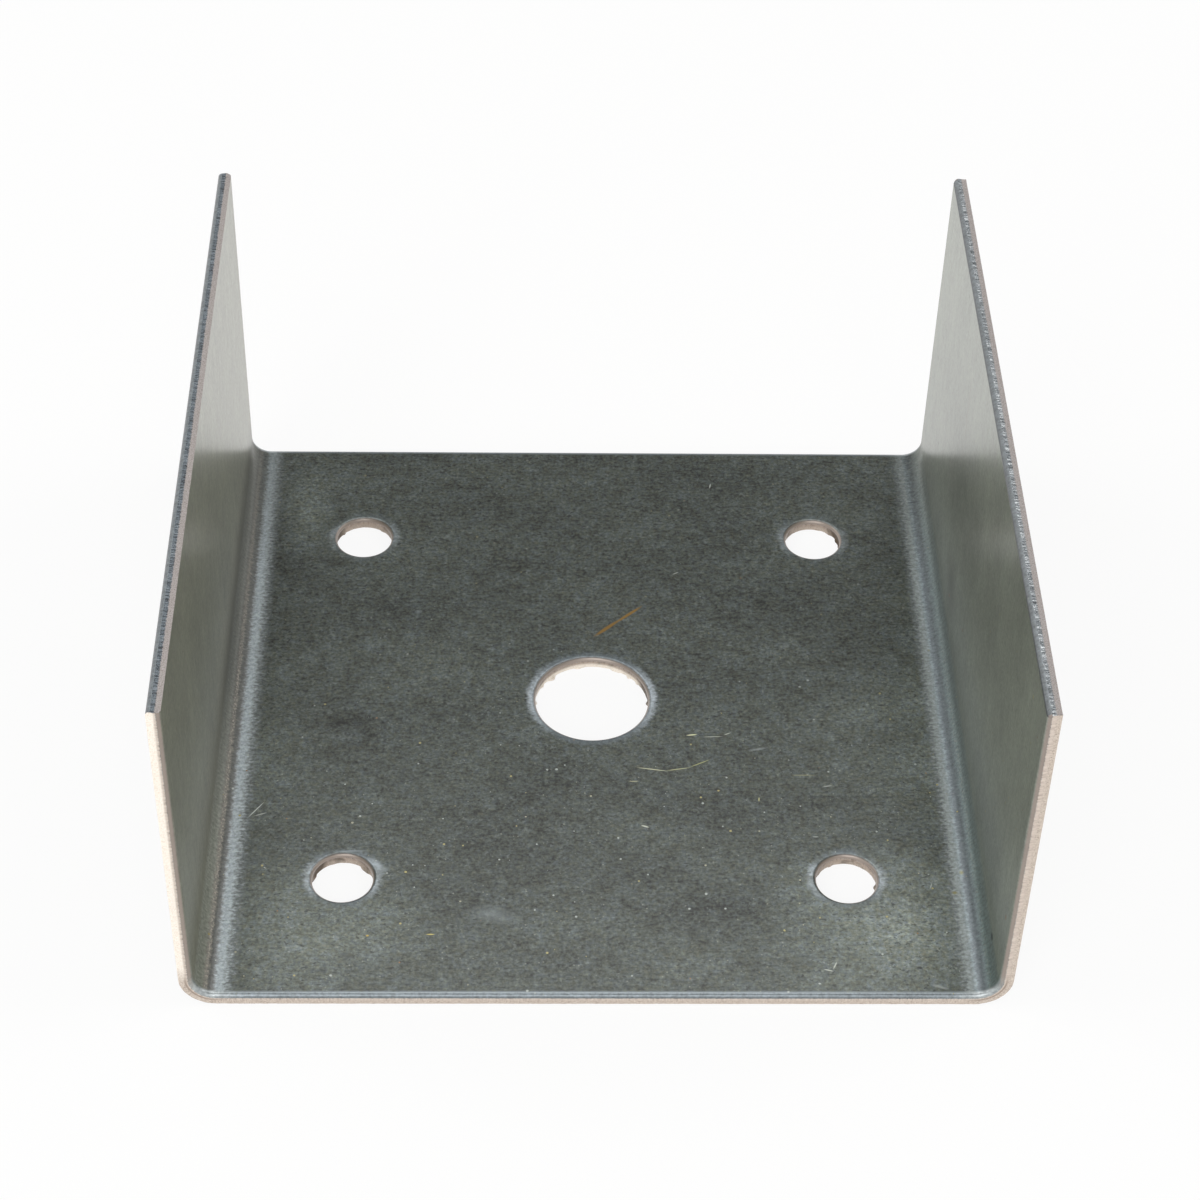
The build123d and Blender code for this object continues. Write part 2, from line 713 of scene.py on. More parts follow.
pit_places = add_node(
    tree,
    "ShaderNodeMapping",
    {"Vector": flat, "Scale": (1 / PIT_LONG, 1 / PIT_WIDE, 1.0), "Location": (31.0, 7.0, 0.0)},
)
pits = add_node(
    tree,
    "ShaderNodeTexNoise",
    {"Vector": pit_places, "Scale": 1.0, "Detail": 2.0, "Roughness": 0.6, "Distortion": 0.5},
)
pitted = add_node(
    tree,
    "ShaderNodeMapRange",
    {"Value": pits, "From Min": 0.57, "From Max": 0.68, "To Max": 0.7},
)
blooms = add_node(
    tree,
    "ShaderNodeTexNoise",
    {"Vector": flat, "Scale": 1 / BLOOM, "Detail": 4.0, "Roughness": 0.75},
)
bloomed = add_node(
    tree,
    "ShaderNodeMapRange",
    {"Value": blooms, "From Min": 0.58, "From Max": 0.76, "To Max": 0.5},
)
for amount, code in ((bloomed, "#737A79"), (pitted, "#0B0D0B")):
    skin = add_node(
        tree,
        "ShaderNodeMix",
        {0: amount, 6: skin, 7: paint(code)},
        data_type="RGBA",
    ).outputs[2]
print("nodes in the zinc so far:", len(tree.nodes))

# %% [markdown]
# ## Duller zinc, painted lighter, inside the flanges
#
# Nothing has rubbed the inner faces of the flanges since the mill, so their zinc
# is duller and more olive than the base's. Its colour is also painted lighter:
# painted light for the upright faces, which catch more light than the base. A
# second material for them would meet the first in a hard line. So one material
# has both, and two measures tell them apart: how far a place is past the start
# of the fold, and which half of the thickness it is in.

# %% Find the insides of the flanges
DULL_FROM = 1.0
DULL_TO = 3.5

places = add_node(tree, "ShaderNodeSeparateXYZ", {0: flat})
run, along, depth = places.outputs
across = add_node(tree, "ShaderNodeMath", {0: run}, operation="ABSOLUTE")
past_start = add_node(
    tree, "ShaderNodeMath", {0: across, 1: FOLD_START / MM}, operation="SUBTRACT"
)
on_inside = add_node(tree, "ShaderNodeMath", {0: depth, 1: SHEET / MM / 2}, operation="LESS_THAN")
on_flange = add_node(
    tree,
    "ShaderNodeMapRange",
    {"Value": past_start, "From Min": DULL_FROM, "From Max": DULL_TO},
)
in_flange = add_node(tree, "ShaderNodeMath", {0: on_flange, 1: on_inside}, operation="MULTIPLY")
print("nodes in the zinc so far:", len(tree.nodes))

# %% [markdown]
# The dull zinc has faint streaks up the flange, a noise that is stretched along
# the strip. The same sum of noises that shades the base makes this colour
# lighter and darker too, so the grain runs on from one to the other.

# %% Dull them
RUB_LONG = 6.0
RUB_WIDE = 1.6

flange_way = add_node(
    tree,
    "ShaderNodeMapping",
    {"Vector": flat, "Scale": (1 / RUB_LONG, 1 / RUB_WIDE, 1.0)},
)
rubs = add_node(
    tree,
    "ShaderNodeTexNoise",
    {"Vector": flange_way, "Scale": 1.0, "Detail": 4.0, "Roughness": 0.6},
)
olive = add_node(
    tree,
    "ShaderNodeValToRGB",
    {"Fac": rubs},
    stops=[(0.3, paint("#8D8C7B")), (0.5, paint("#92927E")), (0.7, paint("#969783"))],
)
uneven_grey = add_node(
    tree,
    "ShaderNodeMapRange",
    {
        "Value": shade,
        "From Min": DARKEST_AT,
        "From Max": LIGHTEST_AT,
        "To Min": 0.5,
        "To Max": 1.75,
    },
)
dull_and_lit = add_node(
    tree, "ShaderNodeVectorMath", {0: olive, "Scale": uneven_grey}, operation="SCALE"
)
skin = add_node(
    tree,
    "ShaderNodeMix",
    {0: in_flange, 6: skin, 7: dull_and_lit},
    data_type="RGBA",
).outputs[2]
print("nodes in the zinc so far:", len(tree.nodes))

# %% [markdown]
# The outer faces and the underside touched only the footing and the air. They
# keep the grain of the base, but paler, and more even by a mix with one plain
# grey. Painting them plain alone would hide the grain.

# %% Pale the outside
OUTSIDE_PALER = 2.8
OUTSIDE_EVENED = 0.45

paler = add_node(
    tree, "ShaderNodeVectorMath", {0: skin, "Scale": OUTSIDE_PALER}, operation="SCALE"
)
evened = add_node(
    tree,
    "ShaderNodeMix",
    {0: OUTSIDE_EVENED, 6: paler, 7: paint("#9BA19E")},
    data_type="RGBA",
).outputs[2]
skin = add_node(
    tree,
    "ShaderNodeMix",
    {0: on_inside, 6: evened, 7: skin},
    data_type="RGBA",
).outputs[2]
print("nodes in the zinc so far:", len(tree.nodes))

# %% [markdown]
# ## The burnished folds, with painted light
#
# The press brake's tools rubbed the zinc along both folds. Where the flat base
# ends there is a bright band. Beyond a darker line comes the hollow of the fold,
# and then the dull flange. The bands are partly that polish and partly painted
# light: the stops in the hollow are lighter than its zinc, painted light in the
# curve of the fold. Bands of their own geometry would show an edge, so a colour
# ramp is laid across each fold. A stop has its place in millimetres from the
# start of the fold, its colour, and how much it covers of the zinc below. The two
# folds differ, as the tool's two sides do.

# %% Choose the colours of the bands
BAND_FROM = -2.3
BAND_TO = 4.2

LEFT_BAND = [
    (-2.3, "#5C6163", 0.0),
    (-1.5, "#6D7375", 0.45),
    (-0.95, "#868D8F", 0.85),
    (-0.45, "#99A2A5", 1.0),
    (0.0, "#99A2A6", 1.0),
    (0.3, "#7A8081", 1.0),
    (0.6, "#585957", 1.0),
    (1.0, "#5F605C", 1.0),
    (1.3, "#807D74", 1.0),
    (1.6, "#7D7B71", 0.95),
    (1.9, "#8F9287", 0.9),
    (3.0, "#9DA092", 0.9),
    (4.2, "#92948A", 0.0),
]
RIGHT_BAND = [
    (-1.8, "#5C6163", 0.0),
    (-1.1, "#72787A", 0.5),
    (-0.6, "#858C8B", 0.9),
    (-0.1, "#8E9696", 1.0),
    (0.25, "#7B8689", 1.0),
    (0.6, "#61696D", 1.0),
    (1.15, "#646C6E", 1.0),
    (1.6, "#6E7B7B", 1.0),
    (1.85, "#70817F", 0.9),
    (2.3, "#6C7B78", 0.85),
    (3.2, "#66716A", 0.8),
    (4.2, "#7C8478", 0.0),
]


def across_fold(stops):
    """Brings stops from millimetres across the fold to the ramp's own 0 to 1."""
    width = BAND_TO - BAND_FROM
    return [((place - BAND_FROM) / width, paint(code, cover)) for place, code, cover in stops]


print("the bands reach over", round(BAND_TO - BAND_FROM, 1), "mm")

# %% [markdown]
# The bright band is feathered towards the base by fine cross hatching, and its
# borders are uneven. So the place where the ramp is read is moved by two
# noises: one stretched across the fold makes the hatching, which is shorter at
# the back, and the pits' own noise makes the borders uneven. The real hatching
# is finer than the 0.3 mm it has here, which is as coarse as it has to be to
# show.

# %% Feather the borders
HATCH_PITCH = 0.32
HATCH_REACH = 1.6
UNEVEN = 1.1

hatch_lines = add_node(
    tree,
    "ShaderNodeMapping",
    {"Vector": flat, "Scale": (1.5, 1 / HATCH_PITCH, 0.0), "Rotation": (0, 0, 0.12)},
)
hatch = add_node(
    tree,
    "ShaderNodeTexNoise",
    {"Vector": hatch_lines, "Scale": 1.0, "Detail": 3.0, "Roughness": 0.6},
)
feathered = add_node(
    tree,
    "ShaderNodeMapRange",
    {
        "Value": past_start,
        "From Min": 0.2,
        "From Max": -0.9,
        "To Min": 0.25,
        "To Max": 2 * HATCH_REACH,
    },
)
shorter_back = add_node(
    tree,
    "ShaderNodeMapRange",
    {"Value": along, "From Min": -30.0, "From Max": 10.0, "To Min": 1.0, "To Max": 0.6},
)
feathered = add_node(
    tree, "ShaderNodeMath", {0: feathered, 1: shorter_back}, operation="MULTIPLY"
)
hatch_step = add_node(tree, "ShaderNodeMath", {0: hatch, 1: 0.5}, operation="SUBTRACT")
band_place = add_node(
    tree,
    "ShaderNodeMath",
    {0: hatch_step, 1: feathered, 2: past_start},
    operation="MULTIPLY_ADD",
)
uneven = add_node(tree, "ShaderNodeMath", {0: pits, 1: 0.5}, operation="SUBTRACT")
band_place = add_node(
    tree,
    "ShaderNodeMath",
    {0: uneven, 1: UNEVEN, 2: band_place},
    operation="MULTIPLY_ADD",
)
band_share = add_node(
    tree,
    "ShaderNodeMapRange",
    {"Value": band_place, "From Min": BAND_FROM, "From Max": BAND_TO},
)
print("nodes in the zinc so far:", len(tree.nodes))

# %% [markdown]
# Now each fold gets its ramp, and it fades at the back, where the tool pressed
# less. The grain has to show through the polish, so the bands' colour is scaled
# by the grain before it covers the zinc.

# %% Lay the bands
left_band = add_node(
    tree, "ShaderNodeValToRGB", {"Fac": band_share}, stops=across_fold(LEFT_BAND)
)
right_band = add_node(
    tree, "ShaderNodeValToRGB", {"Fac": band_share}, stops=across_fold(RIGHT_BAND)
)
on_right = add_node(tree, "ShaderNodeMath", {0: run, 1: 0.0}, operation="GREATER_THAN")
band = add_node(
    tree,
    "ShaderNodeMix",
    {0: on_right, 6: left_band, 7: right_band},
    data_type="RGBA",
)
cover = add_node(
    tree,
    "ShaderNodeMix",
    {0: on_right, 2: left_band.outputs["Alpha"], 3: right_band.outputs["Alpha"]},
    data_type="FLOAT",
)
fades_back = add_node(
    tree,
    "ShaderNodeMapRange",
    {"Value": along, "From Min": 22.0, "From Max": 47.0, "To Min": 1.0, "To Max": 0.35},
)
cover = add_node(tree, "ShaderNodeMath", {0: cover, 1: fades_back}, operation="MULTIPLY")
cover = add_node(tree, "ShaderNodeMath", {0: cover, 1: on_inside}, operation="MULTIPLY")
mottle = add_node(
    tree,
    "ShaderNodeMapRange",
    {"Value": fine, "From Min": 0.45, "From Max": 0.95, "To Min": 0.62, "To Max": 1.3},
)
burnish_and_painted_light = add_node(
    tree,
    "ShaderNodeVectorMath",
    {0: band.outputs[2], "Scale": mottle},
    operation="SCALE",
)
skin = add_node(
    tree,
    "ShaderNodeMix",
    {0: cover, 6: skin, 7: burnish_and_painted_light},
    data_type="RGBA",
).outputs[2]
print("nodes in the zinc so far:", len(tree.nodes))

# %% [markdown]
# ## Painted shade in the hollows of the folds
#
# Towards the back, the hollow of each fold beyond the bright band is darkened by
# painted shade, more so on the left. Four ranges are multiplied to find the
# place, and the zinc's colour is scaled down by the product, which keeps its
# grain. A dark paint over it would hide that.

# %% Paint shade into the hollows
past_line = add_node(
    tree, "ShaderNodeMapRange", {"Value": past_start, "From Min": 1.0, "From Max": 1.7}
)
before_flat = add_node(
    tree, "ShaderNodeMapRange", {"Value": past_start, "From Min": 9.0, "From Max": 3.5}
)
at_back = add_node(
    tree, "ShaderNodeMapRange", {"Value": along, "From Min": -28.0, "From Max": 4.0}
)
hollow_shade_share = add_node(
    tree, "ShaderNodeMapRange", {"Value": on_right, "To Min": 0.62, "To Max": 0.25}
)
hollow_shade = on_inside
for part in (past_line, before_flat, at_back, hollow_shade_share):
    hollow_shade = add_node(tree, "ShaderNodeMath", {0: hollow_shade, 1: part}, operation="MULTIPLY")
kept_light = add_node(tree, "ShaderNodeMath", {0: 1.0, 1: hollow_shade}, operation="SUBTRACT")
skin = add_node(
    tree, "ShaderNodeVectorMath", {0: skin, "Scale": kept_light}, operation="SCALE"
).outputs[0]
print("nodes in the zinc so far:", len(tree.nodes))

# %% [markdown]
# The right flange is a little colder in colour than the left: its zinc has less
# red and more blue. The cut in red also darkens it a little, as painted shade.
# Three factors, one for each part of the colour, do that.

# %% Chill and shade the right flange
COLDER_AND_SHADED = (0.91, 0.98, 1.06)

right_flange = add_node(
    tree, "ShaderNodeMath", {0: in_flange, 1: on_right}, operation="MULTIPLY"
)
colder_and_shaded = add_node(
    tree, "ShaderNodeVectorMath", {0: skin, 1: COLDER_AND_SHADED}, operation="MULTIPLY"
)
skin = add_node(
    tree,
    "ShaderNodeMix",
    {0: right_flange, 6: skin, 7: colder_and_shaded},
    data_type="RGBA",
).outputs[2]
print("nodes in the zinc so far:", len(tree.nodes))

# %% [markdown]
# ## Crackle
#
# Zinc is brittle. On the inside of the left fold it has opened in a thin line of
# pale flakes, densest at the front, and on the right there is only a trace. A
# fine noise is cut off at a level, so that single flakes are left, and it is
# kept to a line a third of a millimetre to each side of its middle.

# %% Open the crackle
CRACKLE = 0.22

crackle_way = add_node(
    tree,
    "ShaderNodeMapping",
    {"Vector": flat, "Scale": (1 / CRACKLE, 0.6 / CRACKLE, 1.0)},
)
flakes = add_node(
    tree, "ShaderNodeTexNoise", {"Vector": crackle_way, "Scale": 1.0, "Detail": 2.0}
)
flaked = add_node(
    tree,
    "ShaderNodeMapRange",
    {"Value": flakes, "From Min": 0.5, "From Max": 0.62, "To Max": 0.85},
)
crackle_middle = add_node(
    tree, "ShaderNodeMapRange", {"Value": on_right, "To Min": 1.35, "To Max": 1.9}
)
off_crackle = add_node(
    tree, "ShaderNodeMath", {0: past_start, 1: crackle_middle}, operation="SUBTRACT"
)
off_crackle = add_node(tree, "ShaderNodeMath", {0: off_crackle}, operation="ABSOLUTE")
on_crackle = add_node(
    tree, "ShaderNodeMapRange", {"Value": off_crackle, "From Min": 0.32, "From Max": 0.12}
)
closed_back = add_node(
    tree,
    "ShaderNodeMapRange",
    {"Value": along, "From Min": -12.0, "From Max": 22.0, "To Min": 1.0, "To Max": 0.15},
)
less_right = add_node(
    tree, "ShaderNodeMapRange", {"Value": on_right, "To Min": 1.0, "To Max": 0.3}
)
crackle = flaked
for part in (on_crackle, cover, closed_back, less_right):
    crackle = add_node(tree, "ShaderNodeMath", {0: crackle, 1: part}, operation="MULTIPLY")
skin = add_node(
    tree,
    "ShaderNodeMix",
    {0: crackle, 6: skin, 7: paint("#A29B90")},
    data_type="RGBA",
).outputs[2]
print("nodes in the zinc so far:", len(tree.nodes))

# %% [markdown]
# ## Rims the punch drew down
#
# The punch stretched and polished the zinc where it went in, so each hole has a
# pale bluish ring. To draw the rings, the material needs the distance from the
# nearest rim. The four small holes mirror each other, so one distance serves
# them all: the place is made positive and measured from one hole. The smaller of
# that and the distance from the large hole's rim is the one that counts.

# %% Measure from the holes
on_sheet = add_node(
    tree, "ShaderNodeVectorMath", {0: flat, 1: (1.0, 1.0, 0.0)}, operation="MULTIPLY"
)
quarter = add_node(tree, "ShaderNodeVectorMath", {0: on_sheet}, operation="ABSOLUTE")
from_screw = add_node(
    tree,
    "ShaderNodeVectorMath",
    {0: quarter, 1: (SCREW_X / MM, SCREW_Y / MM, 0.0)},
    operation="SUBTRACT",
)
to_anchor = add_node(tree, "ShaderNodeVectorMath", {0: on_sheet}, operation="LENGTH")
to_screw = add_node(tree, "ShaderNodeVectorMath", {0: from_screw}, operation="LENGTH")
past_anchor = add_node(
    tree,
    "ShaderNodeMath",
    {0: to_anchor.outputs["Value"], 1: ANCHOR_RADIUS / MM},
    operation="SUBTRACT",
)
past_screw = add_node(
    tree,
    "ShaderNodeMath",
    {0: to_screw.outputs["Value"], 1: SCREW_RADIUS / MM},
    operation="SUBTRACT",
)
past_rim = add_node(
    tree, "ShaderNodeMath", {0: past_anchor, 1: past_screw}, operation="MINIMUM"
)
nearer_screw = add_node(
    tree, "ShaderNodeMath", {0: past_screw, 1: past_anchor}, operation="LESS_THAN"
)
from_hole = add_node(
    tree,
    "ShaderNodeMix",
    {0: nearer_screw, 4: on_sheet, 5: from_screw},
    data_type="VECTOR",
).outputs[1]
print("nodes in the zinc so far:", len(tree.nodes))

# %% [markdown]
# A ring has no clean border: short radial lines run out from the rim. They come
# from a noise read at the bearing from the hole's centre, so they stand square
# to the rim everywhere. The noise is added to the distance, and so are the pits,
# and a soft step then turns the distance into how much of the ring there is.

# %% Draw the ragged rings
RING = 1.0
RING_FADE = 0.9
LINES_PER_RADIAN = 22.0
RAGGED = 0.8
FULLY_RAGGED = RING + RAGGED

aside = add_node(tree, "ShaderNodeSeparateXYZ", {0: from_hole})
bearing = add_node(
    tree, "ShaderNodeMath", {0: aside.outputs[1], 1: aside.outputs[0]}, operation="ARCTAN2"
)
lines_at = add_node(
    tree, "ShaderNodeMath", {0: bearing, 1: LINES_PER_RADIAN}, operation="MULTIPLY"
)
line_place = add_node(tree, "ShaderNodeCombineXYZ", {0: lines_at, 1: past_rim, 2: run})
radial_lines = add_node(
    tree, "ShaderNodeTexNoise", {"Vector": line_place, "Scale": 0.8, "Detail": 2.0}
)
ragged_rim = add_node(
    tree, "ShaderNodeMath", {0: radial_lines, 1: RAGGED, 2: past_rim}, operation="MULTIPLY_ADD"
)
ragged_rim = add_node(
    tree, "ShaderNodeMath", {0: pits, 1: RAGGED, 2: ragged_rim}, operation="MULTIPLY_ADD"
)
ring = add_node(
    tree,
    "ShaderNodeMapRange",
    {
        "Value": ragged_rim,
        "From Min": FULLY_RAGGED + RING_FADE / 2,
        "From Max": FULLY_RAGGED - RING_FADE / 2,
        "To Max": 0.85,
    },
    interpolation_type="SMOOTHSTEP",
)
print("nodes in the zinc so far:", len(tree.nodes))

# %% [markdown]
# The rings are painted brightest on the left and right, a painted reflection of
# the lit flanges, and fainter round the two holes at the back. The small holes'
# rings fade in places, so the zinc's own patches break them up.

# %% Colour the rings
to_side = add_node(tree, "ShaderNodeVectorMath", {0: from_hole}, operation="NORMALIZE")
to_side = add_node(tree, "ShaderNodeSeparateXYZ", {0: to_side})
sideways = add_node(
    tree, "ShaderNodeMath", {0: to_side.outputs[0], 1: to_side.outputs[0]}, operation="MULTIPLY"
)
ring_colour_and_reflection = add_node(
    tree,
    "ShaderNodeValToRGB",
    {"Fac": sideways},
    stops=[
        (0.0, paint("#4E565A")),
        (0.4, paint("#596165")),
        (0.8, paint("#848C91")),
        (1.0, paint("#959DA2")),
    ],
)
fainter_back = add_node(
    tree,
    "ShaderNodeMapRange",
    {"Value": along, "From Min": 6.0, "From Max": 28.0, "To Min": 1.0, "To Max": 0.5},
)
patchy = add_node(
    tree,
    "ShaderNodeMapRange",
    {"Value": patches, "From Min": 0.4, "From Max": 0.6, "To Min": 0.4, "To Max": 0.95},
)
ring_share = add_node(
    tree, "ShaderNodeMix", {0: nearer_screw, 2: 1.0, 3: patchy}, data_type="FLOAT"
)
for part in (on_inside, fainter_back, ring_share):
    ring = add_node(tree, "ShaderNodeMath", {0: ring, 1: part}, operation="MULTIPLY")
polished = add_node(
    tree, "ShaderNodeVectorMath", {0: ring_colour_and_reflection, "Scale": mottle}, operation="SCALE"
)
skin = add_node(
    tree,
    "ShaderNodeMix",
    {0: ring, 6: skin, 7: polished},
    data_type="RGBA",
).outputs[2]
print("nodes in the zinc so far:", len(tree.nodes))

# %% [markdown]
# Down the rounding itself the zinc thins out until the steel shows. The depth
# below the inner face says how far down it a place is.

# %% Bare the steel down the rims
ON_THE_ROLL = ROLL / MM + 0.02

in_hole = add_node(tree, "ShaderNodeMath", {0: past_rim, 1: ON_THE_ROLL}, operation="LESS_THAN")
rolled_in = add_node(
    tree,
    "ShaderNodeMapRange",
    {"Value": depth, "From Min": 0.03, "From Max": 0.16, "To Max": 0.92},
)
bared_rim = add_node(tree, "ShaderNodeMath", {0: in_hole, 1: rolled_in}, operation="MULTIPLY")
skin = add_node(
    tree,
    "ShaderNodeMix",
    {0: bared_rim, 6: skin, 7: paint("#A09288")},
    data_type="RGBA",
).outputs[2]
print("nodes in the zinc so far:", len(tree.nodes))

# %% [markdown]
# ## Edges the shear drew down
#
# The shear blade left the same blue-grey polish along the front and back ends of
# the inner face, half a millimetre wide. The flanges' tops have it too, on the
# inside at the right and the outside at the left. How far a place is from the
# end or the top of the flat strip says whether it belongs to the band, and the
# grain makes its border ragged.

# %% Polish the sheared edges
EDGE_BAND = 0.58
RUN_TO_TOP = (FOLD_START + FOLD_RUN + HEIGHT - FOLD_TOP) / MM

from_middle = add_node(tree, "ShaderNodeMath", {0: along}, operation="ABSOLUTE")
to_end = add_node(
    tree, "ShaderNodeMath", {0: HALF_STRIP / MM, 1: from_middle}, operation="SUBTRACT"
)
ragged_end = add_node(
    tree, "ShaderNodeMath", {0: fine, 1: 0.5, 2: to_end}, operation="MULTIPLY_ADD"
)
end_band = add_node(
    tree,
    "ShaderNodeMapRange",
    {"Value": ragged_end, "From Min": EDGE_BAND + 0.5, "From Max": EDGE_BAND + 0.2},
)
thins_out = add_node(
    tree,
    "ShaderNodeMapRange",
    {"Value": past_start, "From Min": 2.0, "From Max": 5.0, "To Min": 1.0, "To Max": 0.15},
)
for part in (on_inside, thins_out):
    end_band = add_node(tree, "ShaderNodeMath", {0: end_band, 1: part}, operation="MULTIPLY")
to_top = add_node(tree, "ShaderNodeMath", {0: RUN_TO_TOP, 1: across}, operation="SUBTRACT")
top_band = add_node(
    tree,
    "ShaderNodeMapRange",
    {"Value": to_top, "From Min": EDGE_BAND, "From Max": EDGE_BAND - 0.15},
)
blade_side = add_node(
    tree, "ShaderNodeMath", {0: on_right, 1: on_inside}, operation="COMPARE"
)
top_band = add_node(tree, "ShaderNodeMath", {0: top_band, 1: blade_side}, operation="MULTIPLY")
edge_band = add_node(
    tree, "ShaderNodeMath", {0: end_band, 1: top_band}, operation="MAXIMUM"
)
print("nodes in the zinc so far:", len(tree.nodes))

# %% [markdown]
# The polish is palest near the folds, so a ramp follows the distance to the fold.
# Along the tops a ramp of its own paints the rounding: a painted highlight at its
# edge and painted shade, darker, down the curve.

# %% Colour the edges
near_fold = add_node(
    tree,
    "ShaderNodeMapRange",
    {"Value": past_start, "From Min": -7.0, "From Max": 0.5},
)
edge_colour = add_node(
    tree,
    "ShaderNodeValToRGB",
    {"Fac": near_fold},
    stops=[(0.0, paint("#737B7F")), (0.6, paint("#7D8589")), (1.0, paint("#A4AAAB"))],
)
shaded_top_roll = add_node(
    tree,
    "ShaderNodeValToRGB",
    {"Fac": to_top},
    stops=[(0.0, paint("#7C8285")), (0.22, paint("#64696C")), (0.34, paint("#3A3F41"))],
)
top_colour = add_node(
    tree, "ShaderNodeMix", {0: top_band, 6: edge_colour, 7: shaded_top_roll}, data_type="RGBA"
).outputs[2]
drawn_edge = add_node(
    tree, "ShaderNodeVectorMath", {0: top_colour, "Scale": mottle}, operation="SCALE"
)
skin = add_node(
    tree,
    "ShaderNodeMix",
    {0: edge_band, 6: skin, 7: drawn_edge},
    data_type="RGBA",
).outputs[2]
print("nodes in the zinc so far:", len(tree.nodes))

# %% [markdown]
# Up the front and back ends of the flanges the zinc thins out down the rounding,
# as it does in the holes, and the steel shows.

# %% Bare the steel up the flanges' ends
down_roll = add_node(
    tree,
    "ShaderNodeMapRange",
    {"Value": to_end, "From Min": 0.3, "From Max": 0.12, "To Max": 0.85},
)
up_flange = add_node(
    tree,
    "ShaderNodeMapRange",
    {"Value": past_start, "From Min": 2.5, "From Max": 5.0},
)
bared = down_roll
for part in (up_flange, on_inside):
    bared = add_node(tree, "ShaderNodeMath", {0: bared, 1: part}, operation="MULTIPLY")
skin = add_node(
    tree,
    "ShaderNodeMix",
    {0: bared, 6: skin, 7: paint("#8E7F76")},
    data_type="RGBA",
).outputs[2]
print("nodes in the zinc so far:", len(tree.nodes))

# %% [markdown]
# ## Specks
#
# Dust and tiny bare spots lie all over the sheet: mostly pale, some yellow or
# rusty. They are fewer at the back and on the outside. Points of their own mesh
# would be far too many, so a Voronoi texture gives each cell a point and a
# random colour. One channel of that colour says whether the cell has a speck,
# one says how large it is, and one picks its colour.

# %% Scatter the specks
SPECK_CELL = 1.1
SPECK_RADIUS = 0.17
NO_SPECK_BELOW = 0.55

cells = add_node(tree, "ShaderNodeTexVoronoi", {"Vector": flat, "Scale": 1 / SPECK_CELL})
lots = add_node(tree, "ShaderNodeSeparateColor", {0: cells.outputs["Color"]})
chosen = add_node(
    tree, "ShaderNodeMath", {0: lots.outputs[0], 1: NO_SPECK_BELOW}, operation="GREATER_THAN"
)
reach = add_node(
    tree,
    "ShaderNodeMath",
    {0: lots.outputs[1], 1: SPECK_RADIUS / SPECK_CELL},
    operation="MULTIPLY",
)
within = add_node(
    tree, "ShaderNodeMath", {0: cells.outputs["Distance"], 1: reach}, operation="LESS_THAN"
)
less_outside = add_node(
    tree, "ShaderNodeMapRange", {"Value": on_inside, "To Min": 0.3, "To Max": 1.0}
)
less_back = add_node(
    tree,
    "ShaderNodeMapRange",
    {"Value": along, "From Min": -15.0, "From Max": 15.0, "To Min": 1.0, "To Max": 0.25},
)
dusty = add_node(
    tree, "ShaderNodeMath", {0: less_outside, 1: less_back}, operation="MULTIPLY"
)
print("nodes in the zinc so far:", len(tree.nodes))

# %% [markdown]
# The specks' colours mustn't blend into each other, so their ramp is set to
# constant, which jumps from one colour to the next.

# %% Colour the specks
speck = within
for part in (chosen, dusty):
    speck = add_node(tree, "ShaderNodeMath", {0: speck, 1: part}, operation="MULTIPLY")
speck_colour = add_node(
    tree,
    "ShaderNodeValToRGB",
    {"Fac": lots.outputs[2]},
    stops=[
        (0.0, paint("#8E938E")),
        (0.35, paint("#B4B8B2")),
        (0.7, paint("#8A8874")),
        (0.93, paint("#8F8758")),
        (0.985, paint("#7A5A38")),
    ],
)
speck_colour.color_ramp.interpolation = "CONSTANT"
skin = add_node(
    tree,
    "ShaderNodeMix",
    {0: speck, 6: skin, 7: speck_colour},
    data_type="RGBA",
).outputs[2]
print("nodes in the zinc so far:", len(tree.nodes))

# %% [markdown]
# Between the specks the zinc is dusted with pale grains, like salt, that gather
# in its lighter patches. A real one is finer than this render can show, so each
# is drawn 0.18 mm wide. A smaller Voronoi texture scatters them.

# %% Dust it with salt
SALT_CELL = 0.5
SALT_RADIUS = 0.09

salt_cells = add_node(tree, "ShaderNodeTexVoronoi", {"Vector": flat, "Scale": 1 / SALT_CELL})
salt_lots = add_node(tree, "ShaderNodeSeparateColor", {0: salt_cells.outputs["Color"]})
salt_near = add_node(
    tree,
    "ShaderNodeMath",
    {0: salt_cells.outputs["Distance"], 1: SALT_RADIUS / SALT_CELL},
    operation="LESS_THAN",
)
salt_rare = add_node(
    tree, "ShaderNodeMath", {0: patches, 1: salt_lots.outputs[0]}, operation="MULTIPLY"
)
salt_chosen = add_node(
    tree,
    "ShaderNodeMapRange",
    {"Value": salt_rare, "From Min": 0.38, "From Max": 0.5, "To Max": 0.5},
)
salt = salt_near
for part in (salt_chosen, dusty):
    salt = add_node(tree, "ShaderNodeMath", {0: salt, 1: part}, operation="MULTIPLY")
skin = add_node(
    tree,
    "ShaderNodeMix",
    {0: salt, 6: skin, 7: paint("#8C8D80")},
    data_type="RGBA",
).outputs[2]
print("nodes in the zinc so far:", len(tree.nodes))

# %% [markdown]
# ## Marks of use
#
# These are the marks of this one bracket: an orange fibre and a pale thread by
# the large hole, scratches and ticks on the base, pale patches, a dark blotch,
# and a brown smear on the right flange. They have no thickness worth a mesh, so
# each is a painted stroke. Its first five numbers are an ellipse like the
# washes: the middle, the half length and the half width in the flat strip's
# millimetres, and the turn in degrees. Then come its colour, its strength, and
# how far out that strength holds, which makes it crisp or soft.

